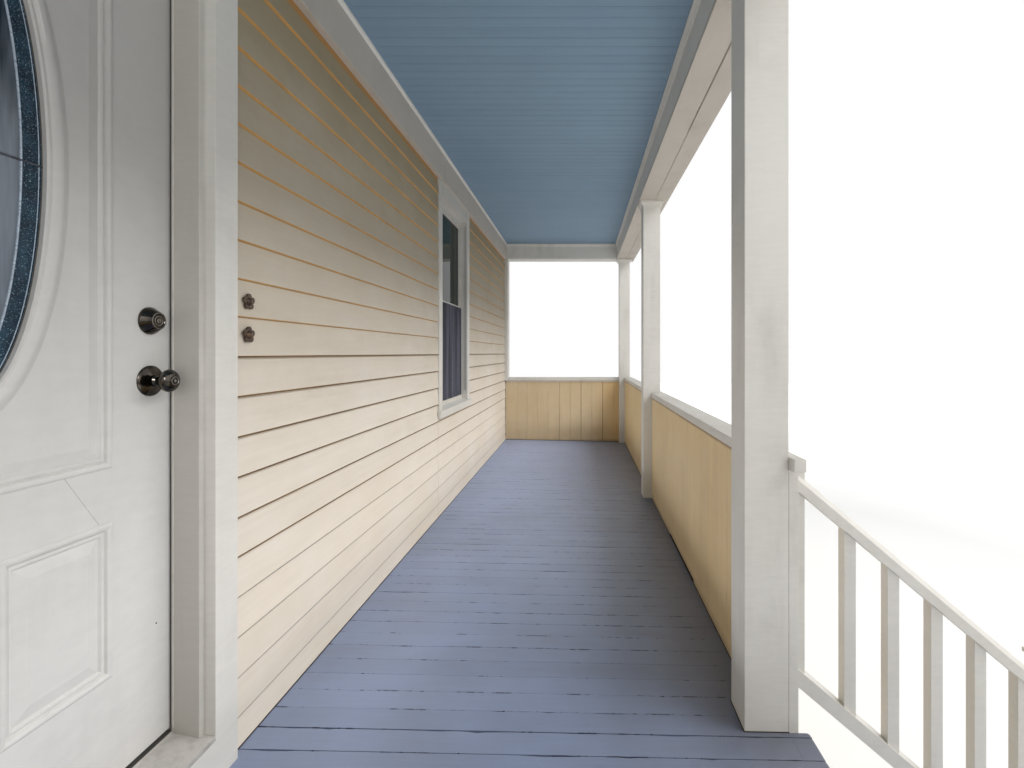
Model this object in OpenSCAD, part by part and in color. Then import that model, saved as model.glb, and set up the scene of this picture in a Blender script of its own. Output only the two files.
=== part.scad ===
// Front porch of a timber house: deck, knee walls, posts, beams, lean-to roof,
// stairs, and the stretch of house wall with the entry door and one window.
// Millimetres. X runs along the porch, Y points from the stairs to the house, Z is up.
// The shapes are drawn from the near corner post (x), the face of the siding (y)
// and the ground (z), and seat() moves them to the middle of the whole.

/* [Porch] */
// Distance between the centres of the posts of the two closed bays
bay = 2545; // [2450:5:2700]
// Clear width between the two posts at the stairs
stair_clear = 1830; // [1800:10:1950]
// Distance from the house siding to the front edge of the deck
porch_depth = 1733; // [1700:1:1850]
// Height of the front edge of the deck above the ground
deck_height = 800; // [700:10:880]
// How far the deck falls from the house to its front edge
deck_fall = 36; // [10:1:50]
// Height of the beams' underside above the deck at the house
headroom = 2419; // [2400:1:2500]
// Depth of the beams below the ceiling
beam_drop = 200; // [160:5:240]
// Side of the square posts
post_size = 140; // [120:5:160]
// Height of the knee walls' cap above the deck at the house
cap_height = 836; // [780:1:900]
// Rise of the roof for each unit of its run
roof_pitch = 0.25; // [0.2:0.01:0.35]

/* [Stairs] */
// Number of steps up from the ground, the deck counted as the last
step_count = 4; // [3:1:5]
// Going of each tread
tread_run = 237; // [230:1:280]
// Height of the handrail's top above the line of the nosings
rail_height = 791; // [760:1:860]
// Distance between the centres of the balusters
baluster_pitch = 141; // [120:1:150]

/* [Entry door] */
// Width of the door
door_w = 914; // [860:1:920]
// Height of the door
door_h = 2032; // [1980:1:2040]
// Thickness of the door
door_t = 45; // [40:1:50]
// Distance from the near corner post's centre to the door's hinge edge
door_hinge_x = 751; // [700:1:780]
// Half the width of the door's oval glass
oval_a = 142; // [120:1:160]
// Half the height of the door's oval glass
oval_b = 477; // [440:1:500]

/* [Window] */
// Distance from the near corner post's centre to the window's near casing
window_x = 3873; // [3400:1:4400]
// Width of the window over its casings
window_w = 962; // [880:1:1000]
// Height of the window sill's underside above the deck at the house
window_sill_h = 700; // [650:1:760]

/* [Hidden] */
$fn = 48;

// Levels
floor_z = deck_height + deck_fall;
soffit_z = floor_z + headroom;
frieze_z = soffit_z - 9;
ceiling_z = soffit_z + beam_drop;
cap_z = floor_z + cap_height;
cap_t = 40;
sill_plate_z = 600;

// Positions along the porch
stair_post_x = stair_clear + post_size;
mid_post_x = stair_post_x + bay;
far_post_x = mid_post_x + bay;
post_x = [0, stair_post_x, mid_post_x, far_post_x];
half = post_size / 2;
cladding_t = 31;
end_reach = half + cladding_t;
house_x0 = -end_reach;
house_x1 = far_post_x + end_reach;

// Positions across the porch, outwards from the siding
nosing_over = 38;
y_nose = -porch_depth;
y_clad = y_nose + nosing_over;
y_post_out = y_clad + cladding_t;
y_post_in = y_post_out + post_size;
y_knee = y_post_out + half;
beam_in_over = 34;
beam_out_over = 64;
y_beam_in = y_post_in + beam_in_over;
y_beam_out = y_post_out - beam_out_over;
end_beam_out = half + beam_out_over;

// House wall
siding_t = 12;
wall_t = 127;
y_wall_in = siding_t + wall_t;
casing_t = 20;
casing_w = 88;
inner_casing_t = 15;
pilaster_t = 34;
y_found_in = 200;

// Deck
board_t = 25;
frame_h = 140;
joist_t = 38;
joist_spaces = 4;
girder_t = 76;
pier_w = 190;
skirt_t = 15;
skirt_gap = 25;
cladding_z = 560;
stair_board_z = 350;

// Knee walls
cap_in_over = 2;
cap_out_over = 8;
cap_end_over = 40;
drain_x = [2920, 3620];
drain_h = 18;

// Roof
soffit_board_t = 19;
ceiling_t = 16;
ceiling_joist_h = 89;
plate_z = ceiling_z + ceiling_t + ceiling_joist_h;
rafter_h = 140;
rafter_t = 38;
rafter_count = 13;
seat_rise = 15;
eave_over = 180;
fascia_t = 20;
eave_drop = 30;
sheathing_t = 16;
shingle_t = 12;
roof_edge_over = 30;
rake_t = 20;
cheek_t = 38;
rake_h = 150;
bed_mould = 45;
wall_above_roof = 230;
roof_x = end_beam_out + rake_t + roof_edge_over;
sheathing_h0 = plumb(rafter_h);
sheathing_h1 = sheathing_h0 + plumb(sheathing_t);
shingle_h1 = sheathing_h1 + plumb(shingle_t);
y_fascia = y_beam_out - eave_over - fascia_t;
house_top = rafter_z(siding_t) + shingle_h1 + wall_above_roof;

// Stairs
rise = deck_height / step_count;
tread_t = 38;
riser_t = 19;
stringer_t = 38;
stringer_count = 4;
stringer_depth = 170;
rail_inset = 9;
rail_x = [rail_inset, stair_post_x - rail_inset];
rail_w = 60;
rail_t = 44;
rail_bevel = 15;
stile_w = 38;
baluster_w = 38;
bottom_rail_h = 160;
first_baluster = 185;
newel_w = 90;
newel_cap_over = 12;
newel_cap_t = 25;
newel_above_rail = 60;
newel_y = y_nose - (step_count - 1) * tread_run - 70;

// Door
door_z = floor_z + 163;
door_y = y_wall_in - door_t;
door_latch_x = door_hinge_x + door_w;
door_mid_x = door_hinge_x + door_w / 2;
door_gap = 6;
latch_bevel = 2;
jamb_t = 20;
stop_over = 8;
stop_gap = 6;
opening_x0 = door_hinge_x - door_gap - jamb_t;
opening_x1 = door_latch_x + door_gap + jamb_t;
opening_z1 = door_z + door_h + door_gap + jamb_t;
reveal = 15;
stop_x0 = door_hinge_x + stop_over;
stop_x1 = door_latch_x - stop_over;
rebate_x0 = door_hinge_x - door_gap;
rebate_x1 = door_latch_x + door_gap;
rebate_y = door_y - stop_gap;
casing_x0 = stop_x0 - reveal - casing_w;
casing_x1 = stop_x1 + reveal + casing_w;
sill_z = floor_z + 109;
sill_edge = 7;
oval_z = door_z + 1384;
light_lip = 8;
relief_half_w = 287;
relief_z = [door_z + 733, door_z + 1950];
panel_gap = 110;
panel_z = [door_z + 243, door_z + 606];
backset = 67;
knob_z = floor_z + 1094;
bolt_z = knob_z + 153;
lock_x = door_latch_x - backset;
lock_bore_r = 27;
knob_r = 29;
knob_depth = 16;
knob_out = 50;
knob_face = 65;
hinge_heights = [180, 1016, 1852];
hinge_h = 100;
hinge_leaf = [28, 2.5];
hinge_r = 6;
hinge_y = y_wall_in + hinge_r + 1;
hinge_x = door_hinge_x - door_gap / 2 + 0.5;

// Window
win_casing_w = 82;
win_casing_t = 4;
win_z0 = floor_z + window_sill_h;
win_sill_t = 50;
win_sill_out = 20;
win_sill_slope = 0.25;
win_x1 = window_x + window_w;
win_in0 = window_x + win_casing_w;
win_in1 = win_x1 - win_casing_w;
win_head_z = floor_z + 2319;
win_foot_z = floor_z + 797;
track_y = 27;
track_t = 3;
head_stop_y = 46;
head_stop_h = 42;
screen_y = 51;
screen_t = 8;
sash_t = 35;
stile = 40;
sash_top = 62;
sash_bottom = 42;
upper_sash_y = screen_y + screen_t + 1;
lower_sash_y = upper_sash_y + sash_t + 2;
meeting_z = floor_z + 1556;
meeting_h = 36;

// Round plates beside the door
rosette_x = 1834;
rosette_heights = [1220, 1320];
rosette_r = 25;

// Middle and back of the whole, which seat() brings to the origin
whole_x = far_post_x / 2;
whole_y0 = newel_y - newel_w - newel_cap_over;
whole_y1 = y_wall_in + knob_face;

// Height of the deck's top at a distance y from the siding
function deck_z(y) = floor_z + y * deck_fall / porch_depth;

// Height of the rafters' lower edge
function rafter_z(y) = plate_z + seat_rise + (y - y_beam_in) * roof_pitch;

// Plumb height of a member of depth t that lies on the roof's slope
function plumb(t) = t * sqrt(1 + roof_pitch * roof_pitch);

// Back of the riser board under tread k, and the underside of that tread
function cut_y(k) = y_nose + nosing_over + riser_t - k * tread_run;
function tread_seat_z(k) = max(deck_height - k * rise - tread_t, 0);

// Height of the line of the nosings
function nosing_z(y) = deck_height + (y - y_nose) * rise / tread_run;

// Moves the whole so that the origin is at the middle of its foot
module seat() {
    translate([-whole_x, -(whole_y0 + whole_y1) / 2, 0]) children();
}

// Block between two opposite corners
module block(low, high) {
    translate(low) cube(high - low);
}

// Pushes a profile drawn in (y, z) along the porch from x0 to x1
module along(x0, x1) {
    translate([x0, 0, 0]) rotate([90, 0, 90]) linear_extrude(x1 - x0) children();
}

// Pushes a profile drawn in (x, z) across the porch from y0 to y1
module across(y0, y1) {
    translate([0, y1, 0]) rotate([90, 0, 0]) linear_extrude(y1 - y0) children();
}

// Slab parallel to the sloping deck, between two heights over the deck's top
module deck_slab(x0, x1, low, high) {
    front = deck_z(y_post_out);
    back = deck_z(siding_t);
    along(x0, x1)
        polygon([
            [y_post_out, front + low], [siding_t, back + low], [siding_t, back + high],
            [y_post_out, front + high]
        ]);
}

// Block that stands on the sloping deck and ends level at z1
module on_deck(x0, x1, y0, y1, z1) {
    intersection() {
        deck_slab(x0, x1, 0, house_top);
        block([x0, y0, 0], [x1, y1, z1]);
    }
}

// Stretch of the sloping deck frame, right under the boards
module under_deck(x0, x1, y0, y1) {
    intersection() {
        deck_slab(x0, x1, -board_t - frame_h, -board_t);
        block([x0, y0, 0], [x1, y1, floor_z]);
    }
}

// Block with a moulded edge on all four sides, mitred at the corners. The profile is
// a list of (distance in from the block's side, height over z).
module moulded_block(low, high, z, profile) {
    left = [for (p = profile) [p[0], z + p[1]]];
    right = [for (i = [len(profile) - 1:-1:0]) [-profile[i][0], z + profile[i][1]]];
    intersection() {
        across(low[1], high[1])
            polygon(concat([for (p = left) [low[0] + p[0], p[1]]],
                [for (p = right) [high[0] + p[0], p[1]]]));
        along(low[0], high[0])
            polygon(concat([for (p = left) [low[1] + p[0], p[1]]],
                [for (p = right) [high[1] + p[0], p[1]]]));
    }
}

// Four mitred lengths of a moulding round the inside of a rectangle in the XY plane.
// The profile is a list of (distance in from the rectangle, height).
module mitred_frame(wide, tall, profile) {
    w = max([for (p = profile) p[0]]);
    thick = 200;
    module side(length) {
        intersection() {
            rotate([90, 0, 90]) linear_extrude(length) polygon(profile);
            linear_extrude(thick, center = true)
                polygon([[0, 0], [length, 0], [length - w, w], [w, w]]);
        }
    }
    side(wide);
    translate([wide, 0, 0]) rotate([0, 0, 90]) side(tall);
    translate([wide, tall, 0]) rotate([0, 0, 180]) side(wide);
    translate([0, tall, 0]) rotate([0, 0, 270]) side(tall);
}

// Mirrors a piece of the near end to the far end, and keeps both
module both_ends() {
    children();
    translate([far_post_x, 0, 0]) mirror([1, 0, 0]) children();
}

// Mirrors a piece of the near end to the far end
module far_end() {
    translate([far_post_x, 0, 0]) mirror([1, 0, 0]) children();
}

// Ground works and deck

module foundation_wall() {
    color("gray") block([house_x0, 0, 0], [house_x1, y_found_in, sill_plate_z]);
}

// Edge of the house floor, which the deck's ledger is fixed to
module floor_band() {
    color("burlywood") block([house_x0, siding_t, sill_plate_z], [house_x1, y_wall_in, sill_z]);
}

module porch_piers() {
    color("darkgray")
        for (x = post_x)
            intersection() {
                x0 = max(x - pier_w / 2, -half);
                x1 = min(x + pier_w / 2, far_post_x + half);
                block([x0, y_post_out, 0], [x1, y_post_out + pier_w, floor_z]);
                deck_slab(x0, x1, -floor_z, -board_t - frame_h);
            }
}

// Doubled girders over the piers, and the rims at both ends
module deck_girders() {
    color("peru") {
        for (x = [stair_post_x, mid_post_x])
            under_deck(x - girder_t / 2, x + girder_t / 2, y_post_out, siding_t);
        for (x = [-half, far_post_x + half - girder_t])
            under_deck(x, x + girder_t, y_post_out, siding_t);
    }
}

// Ledger, joists and front rim, cut in between the girders
module deck_joists() {
    step = (siding_t - joist_t - y_post_out) / joist_spaces;
    ends = [
        [-half + girder_t, stair_post_x - girder_t / 2],
        [stair_post_x + girder_t / 2, mid_post_x - girder_t / 2],
        [mid_post_x + girder_t / 2, far_post_x + half - girder_t]
    ];
    color("peru")
        for (i = [0:joist_spaces], e = ends)
            under_deck(e[0], e[1], y_post_out + i * step, y_post_out + i * step + joist_t);
}

// Boards that fall to the front, with a round nosing between the posts at the stairs
module deck_floor() {
    nose_r = board_t / 2;
    nose_y = y_nose + nose_r;
    color("slategray") {
        deck_slab(-half, far_post_x + half, -board_t, 0);
        along(half, stair_post_x - half) {
            polygon([
                [nose_y, deck_z(nose_y)], [y_post_out, deck_z(y_post_out)],
                [y_post_out, deck_z(y_post_out) - board_t], [nose_y, deck_z(nose_y) - board_t]
            ]);
            translate([nose_y, deck_z(nose_y) - nose_r]) circle(nose_r);
        }
    }
}

// Vertical boards that close the space below the cladding, on three sides
module skirt_boards() {
    face = y_post_out - skirt_t;
    end = half + skirt_t;
    color("wheat") {
        difference() {
            block([-end, face, skirt_gap], [far_post_x + end, y_post_out, cladding_z]);
            block([half, face - 1, stair_board_z],
                [stair_post_x - half, y_post_out + 1, cladding_z + 1]);
        }
        both_ends() block([-end, y_post_out, skirt_gap], [-half, 0, cladding_z]);
    }
}

// Stairs

// Sawtooth outline of a stringer that is cut for the treads
module stringer_outline() {
    slope = rise / tread_run;
    heel_z = tread_seat_z(1) + slope * riser_t - stringer_depth;
    polygon(concat(
        [[y_clad, tread_seat_z(1)]],
        [for (k = [1:step_count - 1], z = [tread_seat_z(k), tread_seat_z(k + 1)]) [cut_y(k), z]],
        [[y_clad - heel_z / slope, 0], [y_clad, heel_z]]
    ));
}

module stair_stringers() {
    pitch = (stair_post_x - stringer_t) / (stringer_count - 1);
    color("white")
        for (i = [0:stringer_count - 1])
            along(i * pitch, i * pitch + stringer_t) stringer_outline();
}

module stair_treads() {
    nose_r = tread_t / 2;
    color("slategray")
        for (k = [1:step_count - 1])
            along(-stringer_t, stair_post_x + stringer_t) {
                front = y_nose - k * tread_run;
                top = deck_height - k * rise;
                translate([front + nose_r, top - tread_t])
                    square([tread_run + nosing_over - nose_r, tread_t]);
                translate([front + nose_r, top - nose_r]) circle(nose_r);
            }
}

// Riser boards, and the thicker one under the nosing, which all the stringers hang on
module stair_risers() {
    color("white") {
        along(half, stair_post_x - half)
            polygon([
                [y_clad, deck_z(y_clad) - board_t], [y_post_out, deck_z(y_post_out) - board_t],
                [y_post_out, stair_board_z], [y_clad, stair_board_z]
            ]);
        block([-stringer_t, y_clad, stair_board_z],
            [stair_post_x + stringer_t, y_post_out - skirt_t, cladding_z]);
        for (k = [1:step_count - 1])
            block([0, cut_y(k) - riser_t, tread_seat_z(k + 1)],
                [stair_post_x, cut_y(k), tread_seat_z(k)]);
    }
}

// Raked rails on both sides: top and bottom rails, balusters and the stile on the cladding
module stair_rails() {
    for (x = rail_x) raked_rail(x);
}

module raked_rail(x) {
    angle = atan(rise / tread_run);
    length = (y_clad - newel_y) / cos(angle);
    top_z = nosing_z(y_clad) + rail_height;
    low_z = nosing_z(y_clad) + bottom_rail_h;
    count = floor((y_clad - first_baluster - newel_y) / baluster_pitch);
    w = rail_w / 2;
    b = rail_bevel;

    // Profile (across the rail, up from its top edge), cut off plumb at both ends
    module raked(z, profile) {
        intersection() {
            translate([x, y_clad, z]) rotate([90 + angle, 0, 0])
                translate([0, 0, -rail_t * 2]) linear_extrude(length + rail_t * 4)
                    polygon(profile);
            block([x - rail_w, newel_y, 0], [x + rail_w, y_clad, cap_z]);
        }
    }

    color("white") {
        raked(top_z, [[-w, -rail_t], [w, -rail_t], [w, -b], [w - b, 0], [b - w, 0], [-w, -b]]);
        raked(low_z, [[-w, -rail_t], [w, -rail_t], [w, 0], [-w, 0]]);
        block([x - stile_w / 2, y_clad - stile_w, low_z - rail_t],
            [x + stile_w / 2, y_clad, cap_z - cap_t]);
        for (i = [0:count]) {
            y = y_clad - first_baluster - i * baluster_pitch;
            z = (y - y_clad) * rise / tread_run;
            block([x - baluster_w / 2, y - baluster_w / 2, low_z + z - rail_t / 2],
                [x + baluster_w / 2, y + baluster_w / 2, top_z + z - rail_t / 2]);
        }
    }
}

module stair_newels() {
    for (x = rail_x) newel(x);
}

module newel(x) {
    y0 = newel_y - newel_w;
    top = nosing_z(newel_y) + rail_height + newel_above_rail;
    w = newel_w / 2;
    o = newel_cap_over;
    weathering = 10;
    cap = [[0, 0], [0, newel_cap_t - weathering], [w + o - 1, newel_cap_t]];
    color("white") {
        block([x - w, y0, 0], [x + w, newel_y, top]);
        moulded_block([x - w - o, y0 - o], [x + w + o, newel_y + o], top, cap);
    }
}

// Posts

// Square posts, each with a moulded necking under the beam
module porch_posts() {
    o = 25;
    neck = [[o, -46], [o - 6, -46], [o - 6, -38], [o - 11, -30], [5, -20], [0, -18], [0, 0]];
    color("ivory")
        for (x = post_x) {
            on_deck(x - half, x + half, y_post_out, y_post_in, soffit_z);
            moulded_block([x - half - o, y_post_out - o], [x + half + o, y_post_in + o], soffit_z,
                neck);
        }
}

// Knee walls

// Panels of boards between the posts, the first with a drain slot at its foot
module knee_walls_front() {
    color("burlywood")
        difference() {
            for (x = [stair_post_x, mid_post_x])
                on_deck(x + half, x + bay - half, y_post_out, y_knee, cap_z - cap_t);
            drain_slot();
        }
}

// Slot that lets water off the deck, cut level through the wall's foot
module drain_slot() {
    slot_z = deck_z(y_knee) + drain_h;
    block([drain_x[0], y_clad - 1, deck_z(y_clad) - 1], [drain_x[1], y_knee + 1, slot_z]);
}

// Knee walls that close the ends, from the house pilasters to the corner posts
module knee_walls_ends() {
    color("burlywood") both_ends() on_deck(-half, 0, y_post_in, -pilaster_t, cap_z - cap_t);
}

// Boards on the outside of the front and far knee walls, down over the deck frame
module cladding_main() {
    color("wheat")
        difference() {
            union() {
                block([stair_post_x - half, y_clad, cladding_z],
                    [far_post_x + end_reach, y_post_out, cap_z - cap_t]);
                far_end() block([-end_reach, y_post_out, cladding_z],
                    [-half, -pilaster_t, cap_z - cap_t]);
            }
            drain_slot();
        }
}

// Cladding round the near corner post and along the near end
module cladding_near() {
    color("wheat") {
        block([-end_reach, y_clad, cladding_z], [half, y_post_out, cap_z - cap_t]);
        block([-end_reach, y_post_out, cladding_z], [-half, -pilaster_t, cap_z - cap_t]);
    }
}

// Cap boards, notched round the posts and run past them on the outside
module end_cap() {
    block([-end_reach - cap_out_over, y_clad - cap_out_over, cap_z - cap_t],
        [cap_in_over, -pilaster_t, cap_z]);
}

module cap_rail_near() {
    color("white")
        difference() {
            union() {
                end_cap();
                block([0, y_clad - cap_out_over, cap_z - cap_t],
                    [half + cap_end_over, y_post_out, cap_z]);
            }
            block([-half, y_post_out, 0], [half, y_post_in, soffit_z]);
        }
}

module cap_rail_main() {
    color("white")
        difference() {
            union() {
                far_end() end_cap();
                block([stair_post_x - half - cap_end_over, y_clad - cap_out_over, cap_z - cap_t],
                    [far_post_x, y_knee + cap_in_over, cap_z]);
            }
            for (x = [stair_post_x, mid_post_x, far_post_x])
                block([x - half, y_post_out, 0], [x + half, y_post_in, soffit_z]);
            block([stair_post_x - half - cap_end_over - 1, y_post_out, 0],
                [stair_post_x, y_post_in, soffit_z]);
        }
}

// Beams, ceiling and roof

module front_beam() {
    color("white")
        block([-end_beam_out, y_beam_out, soffit_z + soffit_board_t],
            [far_post_x + end_beam_out, y_beam_in, plate_z]);
}

module end_beams() {
    color("white")
        both_ends() block([-end_beam_out, y_beam_in, soffit_z], [half, siding_t, plate_z]);
}

// Two boards under the front beam with an open joint between them
module beam_soffit() {
    inner_w = 126;
    joint = 6;
    color("whitesmoke")
        for (y = [[y_beam_out, y_beam_in - inner_w - joint / 2],
                  [y_beam_in - inner_w + joint / 2, y_beam_in]])
            block([-end_beam_out, y[0], soffit_z],
                [far_post_x + end_beam_out, y[1], soffit_z + soffit_board_t]);
}

module ceiling_boards() {
    color("lightsteelblue")
        block([half, y_beam_in, ceiling_z], [far_post_x - half, siding_t, ceiling_z + ceiling_t]);
}

// Cove moulding in the corner between the ceiling and the beams. It is cut narrower
// along the frieze.
module ceiling_moulding() {
    drop = 40;
    over = 19;
    cove = [
        [0, -drop], [5, -drop], [5, 4 - drop], [7, 10 - drop], [11, 18 - drop], [16, 25 - drop],
        [over, 28 - drop], [over, 0], [0, 0]
    ];
    x1 = far_post_x - half;
    y1 = -casing_t + over / 2;
    color("white")
        intersection() {
            translate([half, y_beam_in, ceiling_z]) mitred_frame(x1 - half, y1 - y_beam_in, cove);
            block([half, y_beam_in, soffit_z], [x1, -casing_t, ceiling_z]);
        }
}

// Rafters notched over the front beam, and the joists that the ceiling boards hang from
module roof_framing() {
    x0 = -end_beam_out + cheek_t;
    x1 = far_post_x + end_beam_out - cheek_t;
    pitch = (x1 - x0 - rafter_t) / (rafter_count - 1);
    y0 = y_beam_out - eave_over;
    color("tan") {
        for (i = [1:rafter_count - 2])
            block([x0 + i * pitch, y_beam_in, ceiling_z + ceiling_t],
                [x0 + i * pitch + rafter_t, siding_t, plate_z]);
        difference() {
            for (i = [1:rafter_count - 2])
                along(x0 + i * pitch, x0 + i * pitch + rafter_t)
                    polygon([
                        [y0, rafter_z(y0)], [siding_t, rafter_z(siding_t)],
                        [siding_t, rafter_z(siding_t) + plumb(rafter_h)],
                        [y0, rafter_z(y0) + plumb(rafter_h)]
                    ]);
            block([x0, y_beam_out, soffit_z], [x1, y_beam_in, plate_z]);
        }
    }
}

// Profile of a sheet that lies on the rafters, from h0 to h1 above them
module roof_sheet(y0, h0, h1) {
    polygon([
        [y0, rafter_z(y0) + h0], [siding_t, rafter_z(siding_t) + h0],
        [siding_t, rafter_z(siding_t) + h1], [y0, rafter_z(y0) + h1]
    ]);
}

module roof_deck() {
    deck_over = 5;
    color("tan")
        along(-roof_x, far_post_x + roof_x)
            roof_sheet(y_fascia - deck_over, sheathing_h0, sheathing_h1);
}

module roof_shingles() {
    shingle_over = 15;
    color("dimgray")
        along(-roof_x, far_post_x + roof_x)
            roof_sheet(y_fascia - shingle_over, sheathing_h1, shingle_h1);
}

// Fascia, the level soffit that closes the eave, and the bed moulding on the beam below it
module eave_cornice() {
    low = rafter_z(y_fascia) - eave_drop;
    x0 = -end_beam_out - rake_t;
    x1 = far_post_x + end_beam_out + rake_t;
    color("white") {
        along(x0, x1)
            polygon([
                [y_fascia, low], [y_fascia + fascia_t, low],
                [y_fascia + fascia_t, rafter_z(y_fascia + fascia_t) + sheathing_h0],
                [y_fascia, rafter_z(y_fascia) + sheathing_h0]
            ]);
        block([x0, y_fascia + fascia_t, low], [x1, y_beam_out, low + sheathing_t]);
        along(-end_beam_out, far_post_x + end_beam_out)
            difference() {
                translate([y_beam_out - bed_mould, low - bed_mould]) square(bed_mould);
                translate([y_beam_out - bed_mould, low - bed_mould]) circle(bed_mould - 6);
            }
    }
}

// Triangular ends of the roof, each with its rake board
module roof_cheeks() {
    low = rafter_z(y_fascia) - eave_drop + sheathing_t;
    y0 = y_fascia + fascia_t;
    top0 = rafter_z(y0) + sheathing_h0;
    top1 = rafter_z(siding_t) + sheathing_h0;
    color("white")
        both_ends() {
            along(-end_beam_out, -end_beam_out + cheek_t)
                polygon([
                    [y0, low], [y_beam_out, low], [y_beam_out, plate_z], [siding_t, plate_z],
                    [siding_t, top1], [y0, top0]
                ]);
            along(-end_beam_out - rake_t, -end_beam_out)
                polygon([
                    [y0, max(top0 - rake_h, low)], [siding_t, top1 - rake_h], [siding_t, top1],
                    [y0, top0]
                ]);
        }
}

// House wall

module wall_near() {
    color("linen")
        block([house_x0, siding_t, sill_z], [opening_x0, y_wall_in, house_top]);
}

module wall_over_door() {
    color("linen")
        block([opening_x0, siding_t, opening_z1], [opening_x1, y_wall_in, house_top]);
}

module wall_main() {
    color("linen")
        difference() {
            block([opening_x1, siding_t, sill_z], [house_x1, y_wall_in, house_top]);
            block([win_in0 - jamb_t, siding_t - 1, win_z0],
                [win_in1 + jamb_t, y_wall_in + 1, win_head_z + jamb_t]);
        }
}

// Lapped boards on both sides of the door, and above the roof
module wall_siding() {
    color("wheat") {
        on_deck(half, casing_x0, 0, siding_t, frieze_z);
        difference() {
            on_deck(casing_x1, far_post_x - half, 0, siding_t, frieze_z);
            block([window_x, -1, win_z0], [win_x1, siding_t + 1, frieze_z + 1]);
        }
        block([house_x0, 0, rafter_z(siding_t) + shingle_h1], [house_x1, siding_t, house_top]);
    }
}

module wall_frieze() {
    color("white")
        block([half, -casing_t, frieze_z], [far_post_x - half, siding_t, ceiling_z]);
}

// Boards on the house corners that the end knee walls and end beams meet
module wall_pilasters() {
    color("white")
        both_ends() {
            on_deck(-half, half, -pilaster_t, siding_t, soffit_z);
            block([-end_reach, -pilaster_t, sill_plate_z], [-half, siding_t, soffit_z]);
        }
}

// Two plain cast rosettes with five lobes each, beside the door
module wall_rosettes() {
    lobes = 5;
    lobe_r = 10;
    module rosette() {
        linear_extrude(5) {
            circle(rosette_r - lobe_r);
            for (i = [0:lobes - 1])
                rotate(90 + i * 360 / lobes) translate([rosette_r - lobe_r, 0]) circle(lobe_r);
        }
        rotate_extrude() polygon([[0, 4], [13, 4], [12, 7], [8, 10], [4, 11.5], [0, 12]]);
    }
    color("dimgray")
        for (h = rosette_heights)
            translate([rosette_x, 0, floor_z + h]) rotate([90, 0, 0]) rosette();
}

// Doorway

// Jambs with a rebate for the door, casings outside and inside, and the board below
module door_frame() {
    stop_z = door_z + door_h - stop_over;
    rebate_z = door_z + door_h + door_gap;
    inner_reveal = 10;
    in0 = rebate_x0 - inner_reveal;
    in1 = rebate_x1 + inner_reveal;
    in_z = rebate_z + inner_reveal;
    color("white") {
        difference() {
            block([opening_x0, siding_t, sill_z], [opening_x1, y_wall_in, opening_z1]);
            block([stop_x0, 0, 0], [stop_x1, y_wall_in + 1, stop_z]);
            block([rebate_x0, rebate_y, 0], [rebate_x1, y_wall_in + 1, rebate_z]);
        }
        difference() {
            on_deck(casing_x0, casing_x1, -casing_t, siding_t, frieze_z);
            block([stop_x0 - reveal, -casing_t - 1, sill_z + sill_edge],
                [stop_x1 + reveal, siding_t + 1, stop_z + reveal]);
        }
        difference() {
            block([in0 - casing_w, y_wall_in, sill_z],
                [in1 + casing_w, y_wall_in + inner_casing_t, in_z + casing_w]);
            block([in0, 0, 0], [in1, y_wall_in + inner_casing_t + 1, in_z]);
        }
    }
}

// Sloping metal sill between the jambs, highest under the door
module door_sill() {
    nose_z = sill_z + 20;
    top_z = door_z - 7;
    threshold = [[door_y - 12, nose_z + 22], [door_y - 8, top_z]];
    module slice(x0, x1, y0, y1) {
        intersection() {
            along(x0, x1)
                polygon(concat(
                    [[-casing_t, sill_z + sill_edge], [-casing_t, nose_z]],
                    threshold,
                    [[y_wall_in, top_z], [y_wall_in, sill_z], [siding_t, sill_z]],
                    [[siding_t, sill_z + sill_edge]]
                ));
            block([x0, y0, 0], [x1, y1, door_z]);
        }
    }
    color("darkgray") {
        slice(stop_x0 - reveal, stop_x1 + reveal, -casing_t, siding_t);
        slice(stop_x0, stop_x1, siding_t, rebate_y);
        slice(rebate_x0, rebate_x1, rebate_y, y_wall_in);
    }
}

// Ellipse with half axes a and b, centred on the door's oval
module oval(a, b) {
    steps = 96;
    translate([door_mid_x, oval_z])
        polygon([for (i = [0:steps - 1]) [a * cos(i * 360 / steps), b * sin(i * 360 / steps)]]);
}

// Raised field of a panel: a block whose four edges slope back to the moulding
module raised_field(x, z, deep, slope_w, face) {
    back = door_y + deep;
    intersection() {
        translate([0, 0, z[0]]) linear_extrude(z[1] - z[0])
            polygon([[x[0], back], [x[1], back], [x[1] - slope_w, face], [x[0] + slope_w, face]]);
        along(x[0], x[1])
            polygon([[back, z[0]], [back, z[1]], [face, z[1] - slope_w], [face, z[0] + slope_w]]);
    }
}

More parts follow.
